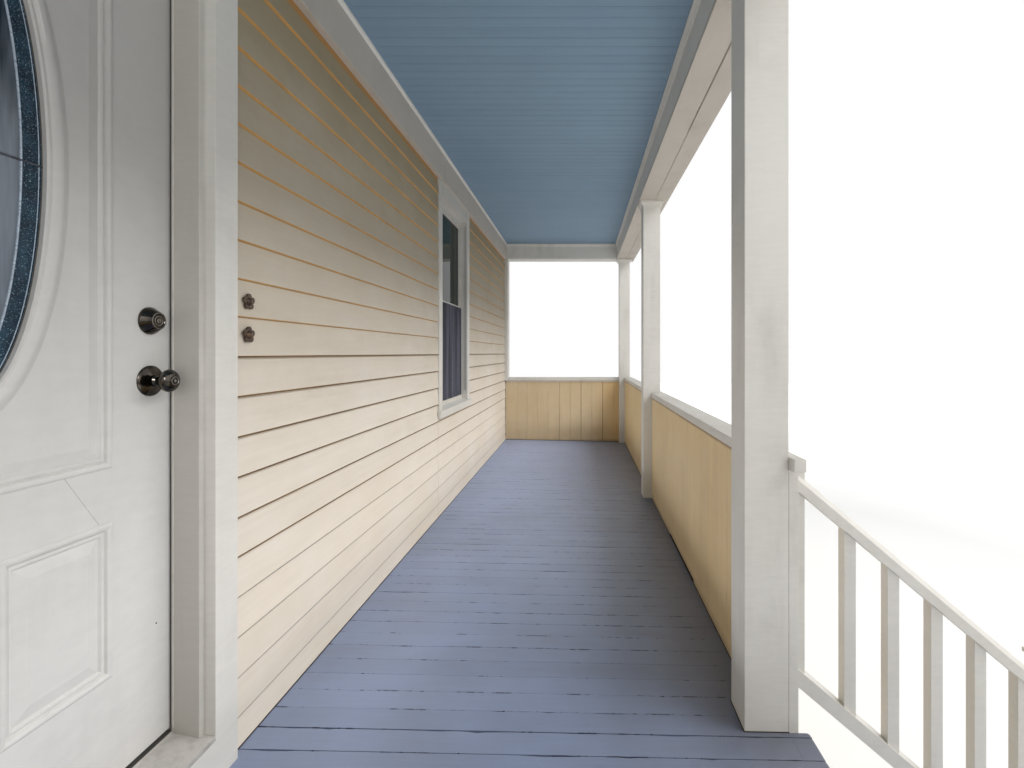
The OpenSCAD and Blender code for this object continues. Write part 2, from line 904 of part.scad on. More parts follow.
// Slab with a wide moulded field round the oval and two moulded panels below it
module door_slab() {
    oval_edge = 10;
    sink = 6;
    cut_over = 10;
    slope_w = 26;
    mould_w = 29;
    mould = [
        [0, -sink], [0, 1.5], [4, 4], [9, 4.5], [14, 2.5], [16.5, -3], [18, -3], [21, -0.5],
        [25, -1], [mould_w, -sink]
    ];
    field_x = [door_mid_x - relief_half_w, door_mid_x + relief_half_w];
    panel_x = [[field_x[0], door_mid_x - panel_gap / 2], [door_mid_x + panel_gap / 2, field_x[1]]];

    module sunk(x, z) {
        block([x[0], door_y - cut_over, z[0]], [x[1], door_y + sink, z[1]]);
    }
    // Moulding and raised field inside a sunk rectangle, on the outer face
    module relief(x, z) {
        inset = [mould_w, -mould_w];
        translate([x[0], door_y, z[0]]) rotate([90, 0, 0])
            mitred_frame(x[1] - x[0], z[1] - z[0], mould);
        raised_field(x + inset, z + inset, sink, slope_w, door_y);
    }
    module both_faces() {
        children();
        translate([0, 2 * door_y + door_t, 0]) mirror([0, 1, 0]) children();
    }
    color("whitesmoke")
        difference() {
            union() {
                difference() {
                    translate([0, 0, door_z]) linear_extrude(door_h)
                        polygon([
                            [door_hinge_x, door_y], [door_latch_x - latch_bevel, door_y],
                            [door_latch_x, y_wall_in], [door_hinge_x, y_wall_in]
                        ]);
                    both_faces() {
                        sunk(field_x, relief_z);
                        for (x = panel_x) sunk(x, panel_z);
                    }
                }
                both_faces() {
                    relief(field_x, relief_z);
                    for (x = panel_x) relief(x, panel_z);
                }
            }
            across(door_y - cut_over, y_wall_in + cut_over)
                oval(oval_a + oval_edge, oval_b + oval_edge);
            translate([lock_x, door_y - cut_over, knob_z]) rotate([-90, 0, 0])
                cylinder(r = lock_bore_r, h = door_t + 2 * cut_over);
        }
}

// Rounded ring swept round the oval, one on each face of the door
module door_light_frame() {
    steps = 72;
    ring_w = 47;
    profile = [
        [0, -light_lip], [0, 2], [3, 5], [7, 5], [9, 3.5], [12, 5], [17, 8.5], [24, 9.5],
        [31, 8], [38, 3], [ring_w, 0], [8, 0], [8, -light_lip]
    ];
    n = len(profile);
    points = [for (i = [0:steps - 1], p = profile)
        [door_mid_x + (oval_a + p[0]) * cos(i * 360 / steps), door_y - p[1],
            oval_z + (oval_b + p[0] * 0.95) * sin(i * 360 / steps)]];
    faces = [for (i = [0:steps - 1], j = [0:n - 1])
        let (a = i * n, b = (i + 1) % steps * n, k = (j + 1) % n)
        [a + j, a + k, b + k, b + j]];
    color("whitesmoke") {
        polyhedron(points, faces, convexity = 4);
        translate([0, 2 * door_y + door_t, 0]) mirror([0, 1, 0])
            polyhedron(points, faces, convexity = 4);
    }
}

module door_glass() {
    color("darkslategray")
        across(door_y + light_lip, y_wall_in - light_lip) oval(oval_a + 8, oval_b + 8);
}

// Fixed rosettes, the lock above the knob, its turn inside, and the hinges
module door_hardware() {
    bore_r = 8.05;
    rose = [
        [bore_r, 0], [39, 0], [39, 3], [37.5, 4.5], [34, 5.5], [28, 8], [21, 10], [14, 11.5],
        [bore_r, 12]
    ];
    lock_case = [[0, 0], [35, 0], [35, 3], [23.5, 22], [22, 24], [18, 24], [17, 23], [0, 23]];
    inner_plate = [[0, 0], [32, 0], [32, 4], [28, 10], [0, 10]];
    turn = [4, 18, 18];
    module turned(z, profile) {
        translate([lock_x, door_y, z]) rotate([90, 0, 0]) rotate_extrude() polygon(profile);
    }
    color("dimgray") {
        turned(knob_z, rose);
        turned(bolt_z, lock_case);
        translate([0, 2 * door_y + door_t, 0]) mirror([0, 1, 0]) {
            turned(knob_z, rose);
            turned(bolt_z, inner_plate);
        }
        block([lock_x - turn[0], y_wall_in + 10, bolt_z - turn[2]],
            [lock_x + turn[0], y_wall_in + 10 + turn[1], bolt_z + turn[2]]);
        for (h = hinge_heights) {
            z = door_z + h - hinge_h / 2;
            translate([hinge_x, hinge_y, z]) cylinder(r = hinge_r, h = hinge_h);
            block([hinge_x, y_wall_in, z],
                [hinge_x + hinge_leaf[0], y_wall_in + hinge_leaf[1], z + hinge_h]);
        }
    }
}

// Knobs inside and outside on one spindle, each a flattened ball with a ring in its face
module door_knob() {
    spindle_r = 8;
    neck = [
        [0, -door_t / 2], [spindle_r, -door_t / 2], [spindle_r, 14], [15, 14], [15, 18], [11, 22],
        [11, 33]
    ];
    ring = [
        [14, knob_face - 1.4], [13, knob_face - 2.4], [11.5, knob_face - 2.4],
        [10.5, knob_face - 0.5], [7, knob_face], [7, knob_face - 1.5], [0, knob_face - 1.5]
    ];
    function ball(a) = [knob_r * cos(a), knob_out + knob_depth * sin(a)];
    profile = concat(neck, [for (a = [-64:8:56]) ball(a)], ring);
    module half_set() {
        translate([lock_x, door_y, knob_z]) rotate([90, 0, 0]) rotate_extrude() polygon(profile);
    }
    color("dimgray") {
        half_set();
        translate([0, 2 * door_y + door_t, 0]) mirror([0, 1, 0]) half_set();
    }
}

// Window

// Casings, jambs with the track that the sashes run in, the stop at the head, the sill, and
// the casing, stool and apron inside
module window_frame() {
    horn = 22;
    lip = 4;
    stool = [15, 45, 25];
    apron_h = 70;
    inner_w = win_casing_w;
    nose_z = win_z0 + win_sill_t;
    seat_z = nose_z + win_sill_slope * (win_sill_out + track_y);
    out0 = win_in0 - jamb_t;
    out1 = win_in1 + jamb_t;
    // Sill profile from the nose back to a distance y1
    module sill(x0, x1, y0, y1) {
        intersection() {
            along(x0, x1)
                polygon([
                    [-win_sill_out, win_z0], [-win_sill_out, nose_z], [track_y, seat_z],
                    [head_stop_y, seat_z + lip], [head_stop_y, win_foot_z],
                    [y_wall_in, win_foot_z], [y_wall_in, win_z0]
                ]);
            block([x0, y0, win_z0], [x1, y1, win_foot_z]);
        }
    }
    color("white") {
        difference() {
            union() {
                block([window_x, -win_casing_t, win_z0], [win_x1, siding_t, frieze_z]);
                block([out0, siding_t, win_z0], [out1, y_wall_in, win_head_z + jamb_t]);
            }
            block([win_in0, -win_casing_t - 1, win_z0], [win_in1, track_y, win_head_z]);
            block([win_in0 + track_t, track_y - 1, win_z0],
                [win_in1 - track_t, y_wall_in + 1, win_head_z - track_t]);
        }
        block([win_in0, head_stop_y, win_head_z - head_stop_h],
            [win_in1, upper_sash_y, win_head_z]);
        sill(window_x - horn, win_x1 + horn, -win_sill_out, 0);
        sill(win_in0, win_in1, 0, y_wall_in);
        difference() {
            block([win_in0 - inner_w, y_wall_in, win_foot_z - stool[2] - apron_h],
                [win_in1 + inner_w, y_wall_in + inner_casing_t, win_head_z + inner_w]);
            block([win_in0, 0, win_foot_z],
                [win_in1, y_wall_in + inner_casing_t + 1, win_head_z]);
        }
        block([win_in0 - inner_w - stool[0], y_wall_in, win_foot_z - stool[2]],
            [win_in1 + inner_w + stool[0], y_wall_in + stool[1], win_foot_z]);
    }
}

// One sash with its opening for the glass
module sash(y, z0, z1, low, high) {
    x0 = win_in0 + track_t;
    x1 = win_in1 - track_t;
    difference() {
        block([x0, y, z0], [x1, y + sash_t, z1]);
        block([x0 + stile, y - 1, z0 + low], [x1 - stile, y + sash_t + 1, z1 - high]);
    }
}

module window_sashes() {
    upper_z = win_head_z - track_t;
    color("white") {
        sash(upper_sash_y, meeting_z - meeting_h / 2, upper_z, meeting_h, sash_top);
        sash(lower_sash_y, win_foot_z, meeting_z + meeting_h / 2, sash_bottom, meeting_h);
    }
}

module window_glass() {
    glass_t = 4;
    glass_in = 13;
    x0 = win_in0 + track_t + stile;
    x1 = win_in1 - track_t - stile;
    module pane(y, z0, z1) {
        block([x0, y + glass_in, z0], [x1, y + glass_in + glass_t, z1]);
    }
    color("darkslategray") {
        pane(upper_sash_y, meeting_z + meeting_h / 2, win_head_z - track_t - sash_top);
        pane(lower_sash_y, win_foot_z + sash_bottom, meeting_z - meeting_h / 2);
    }
}

// Insect screen in front of the lower sash, its mesh drawn as a thin sheet
module window_screen() {
    bar = 26;
    mesh_t = 1;
    x0 = win_in0 + track_t;
    x1 = win_in1 - track_t;
    z1 = meeting_z + 4;
    mid = screen_y + screen_t / 2;
    color("dimgray") {
        difference() {
            block([x0, screen_y, win_foot_z], [x1, screen_y + screen_t, z1]);
            block([x0 + bar, screen_y - 1, win_foot_z + bar],
                [x1 - bar, screen_y + screen_t + 1, z1 - bar]);
        }
        block([x0 + bar, mid - mesh_t / 2, win_foot_z + bar],
            [x1 - bar, mid + mesh_t / 2, z1 - bar]);
    }
}

seat() foundation_wall();
seat() floor_band();
seat() porch_piers();
seat() deck_girders();
seat() deck_joists();
seat() deck_floor();
seat() skirt_boards();
seat() stair_stringers();
seat() stair_treads();
seat() stair_risers();
seat() stair_rails();
seat() stair_newels();
seat() porch_posts();
seat() knee_walls_front();
seat() knee_walls_ends();
seat() cladding_near();
seat() cladding_main();
seat() cap_rail_near();
seat() cap_rail_main();
seat() front_beam();
seat() end_beams();
seat() beam_soffit();
seat() ceiling_boards();
seat() ceiling_moulding();
seat() roof_framing();
seat() roof_deck();
seat() roof_shingles();
seat() eave_cornice();
seat() roof_cheeks();
seat() wall_near();
seat() wall_over_door();
seat() wall_main();
seat() wall_siding();
seat() wall_frieze();
seat() wall_pilasters();
seat() wall_rosettes();
seat() door_frame();
seat() door_sill();
seat() window_frame();
seat() window_sashes();
seat() window_glass();
seat() window_screen();
seat() door_slab();
seat() door_light_frame();
seat() door_glass();
seat() door_hardware();
seat() door_knob();
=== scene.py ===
import math
import random

import bpy
from mathutils import Matrix, Vector, noise


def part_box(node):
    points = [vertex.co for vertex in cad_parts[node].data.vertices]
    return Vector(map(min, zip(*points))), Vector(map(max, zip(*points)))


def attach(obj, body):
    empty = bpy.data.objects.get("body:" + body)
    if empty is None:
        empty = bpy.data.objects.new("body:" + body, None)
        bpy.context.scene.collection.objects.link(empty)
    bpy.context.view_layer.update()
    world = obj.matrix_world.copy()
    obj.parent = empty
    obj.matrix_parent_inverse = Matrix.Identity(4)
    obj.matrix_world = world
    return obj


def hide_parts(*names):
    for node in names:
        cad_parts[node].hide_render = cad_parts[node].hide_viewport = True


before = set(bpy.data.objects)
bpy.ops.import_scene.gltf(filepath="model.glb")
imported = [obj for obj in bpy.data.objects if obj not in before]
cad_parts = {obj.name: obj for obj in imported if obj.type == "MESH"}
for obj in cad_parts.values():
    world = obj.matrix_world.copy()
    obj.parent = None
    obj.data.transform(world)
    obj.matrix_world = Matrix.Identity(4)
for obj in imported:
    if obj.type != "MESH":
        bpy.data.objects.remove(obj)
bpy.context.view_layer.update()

bpy.ops.object.select_all(action="DESELECT")
random.seed(7)

# Places are given in metres from the near corner post's centre (x), the face of the
# siding (y, outwards is negative) and the ground (z)
POST_HALF = 0.070
POST_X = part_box("knee_walls_ends")[0].x + POST_HALF
SIDING_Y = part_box("wall_siding")[0].y


def at(x, y, z):
    return Vector((POST_X + x, SIDING_Y + y, z))


def span(node):
    """Lowest and highest corner of a node, from the post, the siding and the ground."""
    shift = Vector((POST_X, SIDING_Y, 0))
    low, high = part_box(node)
    return low - shift, high - shift


# Camera, standing at the door and looking along the porch
EYE = (0.321, -1.006, 2.001)
IMAGE = (1024, 768)
FOCAL_PX = 500.0
VANISHING = (580.5, 353.0)

# Door: its outer face, and the lock's place along x and the heights of bolt and knob
DOOR_Y = 0.094
LOCK = (1.598, 2.083, 1.930)

# The door's frame: inner faces of its stops, and the levels of their foot and head
STOP_X = (0.755, 1.661)
STOP_Z = (1.0, 3.033)

# Levels and lines of the porch
FLOOR_Z = 0.836
DECK_FALL = 0.036 / 1.733
Y_POST_OUT = span("porch_piers")[0].y
Y_KNEE = span("knee_walls_front")[1].y
Y_CLAD = span("cladding_main")[0].y
STAIR_POST_X = 1.970
BAY = 2.545
CASING_X = (0.656, 1.760)
WINDOW_X = (3.873, 4.835)
WINDOW_SILL_Z = 1.536
SLOT_X = (2.920, 3.620)
SLOT_HIGH = 0.018
FAR_POST_X = STAIR_POST_X + 2 * BAY
FRIEZE_Z = 3.246
CAP_FOOT_Z = span("knee_walls_front")[1].z

# Boards
DECK_PITCH = 0.0885
DECK_JOINT_X = 1.792
CEILING_PITCH = 0.0686
CEILING_JOINT_X = 2.498
PANEL_PITCH = 0.146
PANEL_JOINT_Y = -0.137
# Open joints of the end walls: place, width and how far up from the deck dirt fills them
END_JOINTS = [(PANEL_JOINT_Y - PANEL_PITCH * count, width, reach) for count, width, reach in (
    (1, 0.0012, 0.80), (4, 0.0030, 0.18), (5, 0.0016, 0.80), (6, 0.0044, 0.80),
    (7, 0.0012, 0.80), (8, 0.0050, 0.80))]
SIDING_DEEP = 0.012
SIDING_FIRST = 0.090
SIDING_LOW = 0.118
SIDING_HIGH = 0.114
SIDING_TAPER = 0.0095
BUTT_SLOPE = 0.0035

# The photograph shows no eave below the beam's outer edge, so the roof's edge is drawn in
EAVE_Y = -1.90
EAVE_IN = 0.110
EAVE_FOOT_Z = 3.460
ROOF_PITCH = 0.25
ROOF_EDGE_NODES = ("eave_cornice", "roof_cheeks", "roof_deck", "roof_framing")


def deck_z(y):
    """Height of the deck's top at a distance y from the siding."""
    return FLOOR_Z + y * DECK_FALL


def srgb(red, green, blue):
    """Linear colour of a paint that is written in the 0 to 255 values of a screen."""
    linear = []
    for part in (red, green, blue):
        value = part / 255
        linear.append(value / 12.92 if value <= 0.04045 else ((value + 0.055) / 1.055) ** 2.4)
    return (*linear, 1.0)


# Camera

def make_camera():
    camera = bpy.data.cameras.new("camera")
    camera.sensor_width = 36.0
    camera.lens = FOCAL_PX * camera.sensor_width / IMAGE[0]
    camera.shift_x = (IMAGE[0] / 2 - VANISHING[0]) / IMAGE[0]
    camera.shift_y = -(IMAGE[1] / 2 - VANISHING[1]) / IMAGE[0]
    camera.clip_start = 0.02
    camera.clip_end = 200.0
    holder = bpy.data.objects.new("camera", camera)
    holder.location = at(*EYE)
    holder.rotation_euler = (math.radians(90), 0, math.radians(-90))
    bpy.context.scene.collection.objects.link(holder)
    bpy.context.scene.camera = holder


# Shader nodes

# Kinds of the node groups' sockets by their labels. All others are plain values
SOCKETS = dict.fromkeys(("Colour", "Shade", "Dirt", "Under", "Light", "Dark"), "NodeSocketColor")
SOCKETS.update(dict.fromkeys(("Strokes", "Across", "Streaks", "Along"), "NodeSocketVector"))


def put(tree, kind, sockets=None, **settings):
    """Adds a node. What is given for a socket is linked if it is a socket, or else set."""
    made = tree.nodes.new(kind)
    for key, value in settings.items():
        setattr(made, key, value)
    for key, value in (sockets or {}).items():
        if isinstance(value, bpy.types.NodeSocket):
            tree.links.new(value, made.inputs[key])
        else:
            made.inputs[key].default_value = value
    return made


def maths(tree, operation, a, b=0.0, c=0.0, clamp=False):
    sockets = {0: a, 1: b, 2: c} if operation == "MULTIPLY_ADD" else {0: a, 1: b}
    return put(tree, "ShaderNodeMath", sockets, operation=operation, use_clamp=clamp).outputs[0]


def scaled(tree, vector, factors):
    return put(tree, "ShaderNodeVectorMath", {0: vector, 1: factors},
               operation="MULTIPLY").outputs[0]


def along(tree, vector, direction):
    """How far a place lies along a direction."""
    return put(tree, "ShaderNodeVectorMath", {0: vector, 1: direction},
               operation="DOT_PRODUCT").outputs["Value"]


def cloud(tree, vector, scale, detail=3.0, roughness=0.5):
    sockets = {"Vector": vector, "Scale": scale, "Detail": detail, "Roughness": roughness}
    return put(tree, "ShaderNodeTexNoise", sockets).outputs[0]


def ramp(tree, value, low, high, to_low=0.0, to_high=1.0):
    sockets = {0: value, 1: low, 2: high, 3: to_low, 4: to_high}
    return put(tree, "ShaderNodeMapRange", sockets).outputs[0]


def blended(tree, factor, a, b, how="MIX"):
    sockets = {0: factor, 6: a, 7: b}
    return put(tree, "ShaderNodeMix", sockets, data_type="RGBA", blend_type=how).outputs[2]


def coordinates(tree):
    return put(tree, "ShaderNodeTexCoord").outputs["Object"]


def new_group(name, takes, gives):
    """An empty node group with named inputs and outputs."""
    tree = bpy.data.node_groups.new(name, "ShaderNodeTree")
    for labels, way in ((takes, "INPUT"), (gives, "OUTPUT")):
        for label in labels.split():
            kind = SOCKETS.get(label, "NodeSocketFloat")
            tree.interface.new_socket(name=label, in_out=way, socket_type=kind)
    return tree, put(tree, "NodeGroupInput").outputs, put(tree, "NodeGroupOutput").inputs


def use(tree, name, **sockets):
    """Places a node group in a tree and gives its outputs."""
    return put(tree, "ShaderNodeGroup", sockets, node_tree=bpy.data.node_groups[name]).outputs


def make_brushed_paint():
    """Paint laid on with a brush: strokes along a board, and a slow drift of its tone."""
    tree, taken, given = new_group("brushed_paint", "Colour Shade Drift Strokes",
                                   "Colour Roughness Height")
    where = coordinates(tree)
    strokes = cloud(tree, scaled(tree, where, taken["Strokes"]), 1.0, 4.0, 0.6)
    broad = ramp(tree, cloud(tree, where, 1.9, 4.0, 0.6), 0.35, 0.68)
    shade = maths(tree, "MULTIPLY", broad, taken["Drift"])
    colour = blended(tree, shade, taken["Colour"], taken["Shade"])
    streaks = ramp(tree, strokes, 0.3, 0.7, 0.965, 1.025)
    tree.links.new(blended(tree, 1.0, colour, streaks, "MULTIPLY"), given["Colour"])
    tree.links.new(ramp(tree, strokes, 0.3, 0.7, 0.36, 0.56), given["Roughness"])
    tree.links.new(strokes, given["Height"])


def make_board_rows():
    """A tone of its own for each board of a row, and a mask that is 1 at the joints."""
    tree, taken, given = new_group("board_rows", "Across Pitch Start Reach", "Tone Joint")
    place = along(tree, coordinates(tree), taken["Across"])
    count = maths(tree, "DIVIDE", maths(tree, "SUBTRACT", place, taken["Start"]), taken["Pitch"])
    board = put(tree, "ShaderNodeTexWhiteNoise", {"W": maths(tree, "FLOOR", count)},
                noise_dimensions="1D").outputs["Value"]
    share = maths(tree, "FRACT", count)
    nearest = maths(tree, "MINIMUM", share, maths(tree, "SUBTRACT", 1.0, share))
    distance = maths(tree, "MULTIPLY", nearest, taken["Pitch"])
    tree.links.new(board, given["Tone"])
    tree.links.new(maths(tree, "SUBTRACT", 1.0, maths(tree, "DIVIDE", distance, taken["Reach"]),
                         clamp=True), given["Joint"])


def make_grime():
    """Dirt in soft streaks and clouds."""
    tree, taken, given = new_group("grime", "Colour Dirt Amount Streaks", "Colour Mask")
    where = coordinates(tree)
    runs = cloud(tree, scaled(tree, where, taken["Streaks"]), 1.0, 5.0, 0.65)
    patches = cloud(tree, where, 3.1, 3.0)
    both = maths(tree, "MULTIPLY", ramp(tree, runs, 0.46, 0.78), ramp(tree, patches, 0.38, 0.7))
    mask = maths(tree, "MULTIPLY", both, taken["Amount"], clamp=True)
    tree.links.new(blended(tree, mask, taken["Colour"], taken["Dirt"]), given["Colour"])
    tree.links.new(mask, given["Mask"])


def make_dirt_and_shade_band():
    """Dirt, painted shade and painted sheen that gather towards a line, with an edge that is ragged
    over 0.3 m at most.
    """
    tree, taken, given = new_group("dirt_and_shade_band", "Colour Dirt Across Clean Full Amount", "Colour")
    where = coordinates(tree)
    place = along(tree, where, taken["Across"])
    reach = maths(tree, "ABSOLUTE", maths(tree, "SUBTRACT", taken["Full"], taken["Clean"]))
    reach = maths(tree, "MINIMUM", reach, 0.3)
    ragged = maths(tree, "SUBTRACT", cloud(tree, where, 6.0, 6.0, 0.68), 0.5)
    place = maths(tree, "MULTIPLY_ADD", ragged, reach, place)
    mask = maths(tree, "MULTIPLY", ramp(tree, place, taken["Clean"], taken["Full"]),
                 taken["Amount"])
    tree.links.new(blended(tree, mask, taken["Colour"], taken["Dirt"]), given["Colour"])


def make_flaking():
    """Spots where the paint has come off and what is under it shows."""
    tree, taken, given = new_group("flaking", "Colour Under Cover Size Where", "Colour Mask")
    where = coordinates(tree)
    spots = cloud(tree, where, taken["Size"], 6.0, 0.62)
    edge = maths(tree, "SUBTRACT", 1.0, taken["Cover"])
    lifted = maths(tree, "SUBTRACT", maths(tree, "MULTIPLY_ADD", taken["Where"], 0.22, spots), edge)
    mask = maths(tree, "MULTIPLY", lifted, 40.0, clamp=True)
    tree.links.new(blended(tree, mask, taken["Colour"], taken["Under"]), given["Colour"])
    tree.links.new(mask, given["Mask"])


def make_wood_grain():
    """Grain lines along a board, with darker late wood."""
    tree, taken, given = new_group("wood_grain", "Light Dark Along", "Colour Height")
    lines = cloud(tree, scaled(tree, coordinates(tree), taken["Along"]), 1.0, 6.0, 0.7)
    late = ramp(tree, lines, 0.42, 0.66)
    tree.links.new(blended(tree, late, taken["Light"], taken["Dark"]), given["Colour"])
    tree.links.new(lines, given["Height"])


def make_grit():
    """Grains of two tones, such as sand in concrete or granules on a shingle."""
    tree, taken, given = new_group("grit", "Light Dark Size", "Colour Height")
    where = coordinates(tree)
    grains = put(tree, "ShaderNodeTexVoronoi", {"Vector": where, "Scale": taken["Size"]}).outputs
    tone = put(tree, "ShaderNodeSeparateColor", {0: grains["Color"]}).outputs[0]
    patches = cloud(tree, where, 4.0, 5.0, 0.65)
    share = maths(tree, "MULTIPLY_ADD", tone, 0.7, maths(tree, "MULTIPLY", patches, 0.3))
    tree.links.new(blended(tree, ramp(tree, share, 0.25, 0.75), taken["Dark"], taken["Light"]),
                   given["Colour"])
    tree.links.new(maths(tree, "SUBTRACT", 1.0, grains["Distance"]), given["Height"])


# Materials

def new_material(name, roughness, metallic=0.0, **constants):
    assert name not in bpy.data.materials, name
    material = bpy.data.materials.new(name)
    material.use_nodes = True
    shader = material.node_tree.nodes["Principled BSDF"]
    shader.inputs["Roughness"].default_value = roughness
    shader.inputs["Metallic"].default_value = metallic
    for key, value in constants.items():
        shader.inputs[key.replace("_", " ")].default_value = value
    return material.node_tree, shader


def wire(tree, shader, colour, height, distance, rough=None):
    """Gives a shader its colour, a bump of a given height in metres, and its roughness."""
    tree.links.new(colour, shader.inputs["Base Color"])
    if rough is not None:
        tree.links.new(rough, shader.inputs["Roughness"])
    bump = put(tree, "ShaderNodeBump", {"Height": height, "Distance": distance, "Strength": 1.0})
    tree.links.new(bump.outputs[0], shader.inputs["Normal"])


def dirtied(tree, colour, dirt, amount, streaks):
    """A colour with grime on it."""
    return use(tree, "grime", Colour=colour, Dirt=srgb(*dirt), Amount=amount,
               Streaks=streaks)["Colour"]


def toned(tree, cast, low, high, one, other):
    """Two colours that a cloud mixes."""
    return blended(tree, ramp(tree, cast, low, high), srgb(*one), srgb(*other))


def painted(name, colour, shade, strokes, drift=0.5, dirt=(96, 84, 66), dirty=0.25,
            streaks=(6.0, 6.0, 1.5), rows=None, tones=0.06, joint=None, flakes=None, gloss=None,
            bands=()):
    """Painted wood. rows gives (across, pitch, start, reach) of a row of boards, joint the
    (colour, share, least, most) of the dirt at their joints, flakes (colour, cover, size),
    and bands (colour, across, clean, full, amount) of dirt, painted shade and painted sheen
    that gather along a line."""
    tree, shader = new_material(name, 0.45)
    paint = use(tree, "brushed_paint", Colour=srgb(*colour), Shade=srgb(*shade), Drift=drift,
                Strokes=strokes)
    seen = paint["Colour"]
    height = paint["Height"]
    near_joint = 0.0
    if rows:
        across, pitch, start, reach = rows
        board = use(tree, "board_rows", Across=across, Pitch=pitch, Start=start, Reach=reach)
        level = ramp(tree, board["Tone"], 0.0, 1.0, 1.0 - tones, 1.0 + tones)
        seen = blended(tree, 1.0, seen, level, "MULTIPLY")
        near_joint = board["Joint"]
    seen = dirtied(tree, seen, dirt, dirty, streaks)
    for dark, line, clean, full, amount in bands:
        seen = use(tree, "dirt_and_shade_band", Colour=seen, Dirt=srgb(*dark), Across=line, Clean=clean,
                   Full=full, Amount=amount)["Colour"]
    if joint:
        dark, share, least, most = joint
        broken = ramp(tree, cloud(tree, coordinates(tree), 9.0, 4.0, 0.7), least, most)
        mask = maths(tree, "MULTIPLY", maths(tree, "MULTIPLY", near_joint, broken), share)
        seen = blended(tree, mask, seen, srgb(*dark))
    if flakes:
        under, cover, size = flakes
        lost = use(tree, "flaking", Colour=seen, Under=srgb(*under), Cover=cover, Size=size,
                   Where=near_joint)
        seen = lost["Colour"]
        height = maths(tree, "SUBTRACT", height, lost["Mask"])
    rough = paint["Roughness"]
    if gloss:
        rough = ramp(tree, rough, 0.36, 0.56, *gloss)
    wire(tree, shader, seen, height, 0.0005, rough)


def make_materials():
    make_paints()
    make_sawn_wood()
    make_gritty("masonry_grit", (150, 146, 138), (104, 100, 94), 260.0, 0.92, 0.0012)
    make_gritty("shingle_grit", (112, 112, 116), (44, 44, 48), 620.0, 0.95, 0.0009)
    make_metals()
    make_glasses()
    make_screen()
    make_small_finishes()


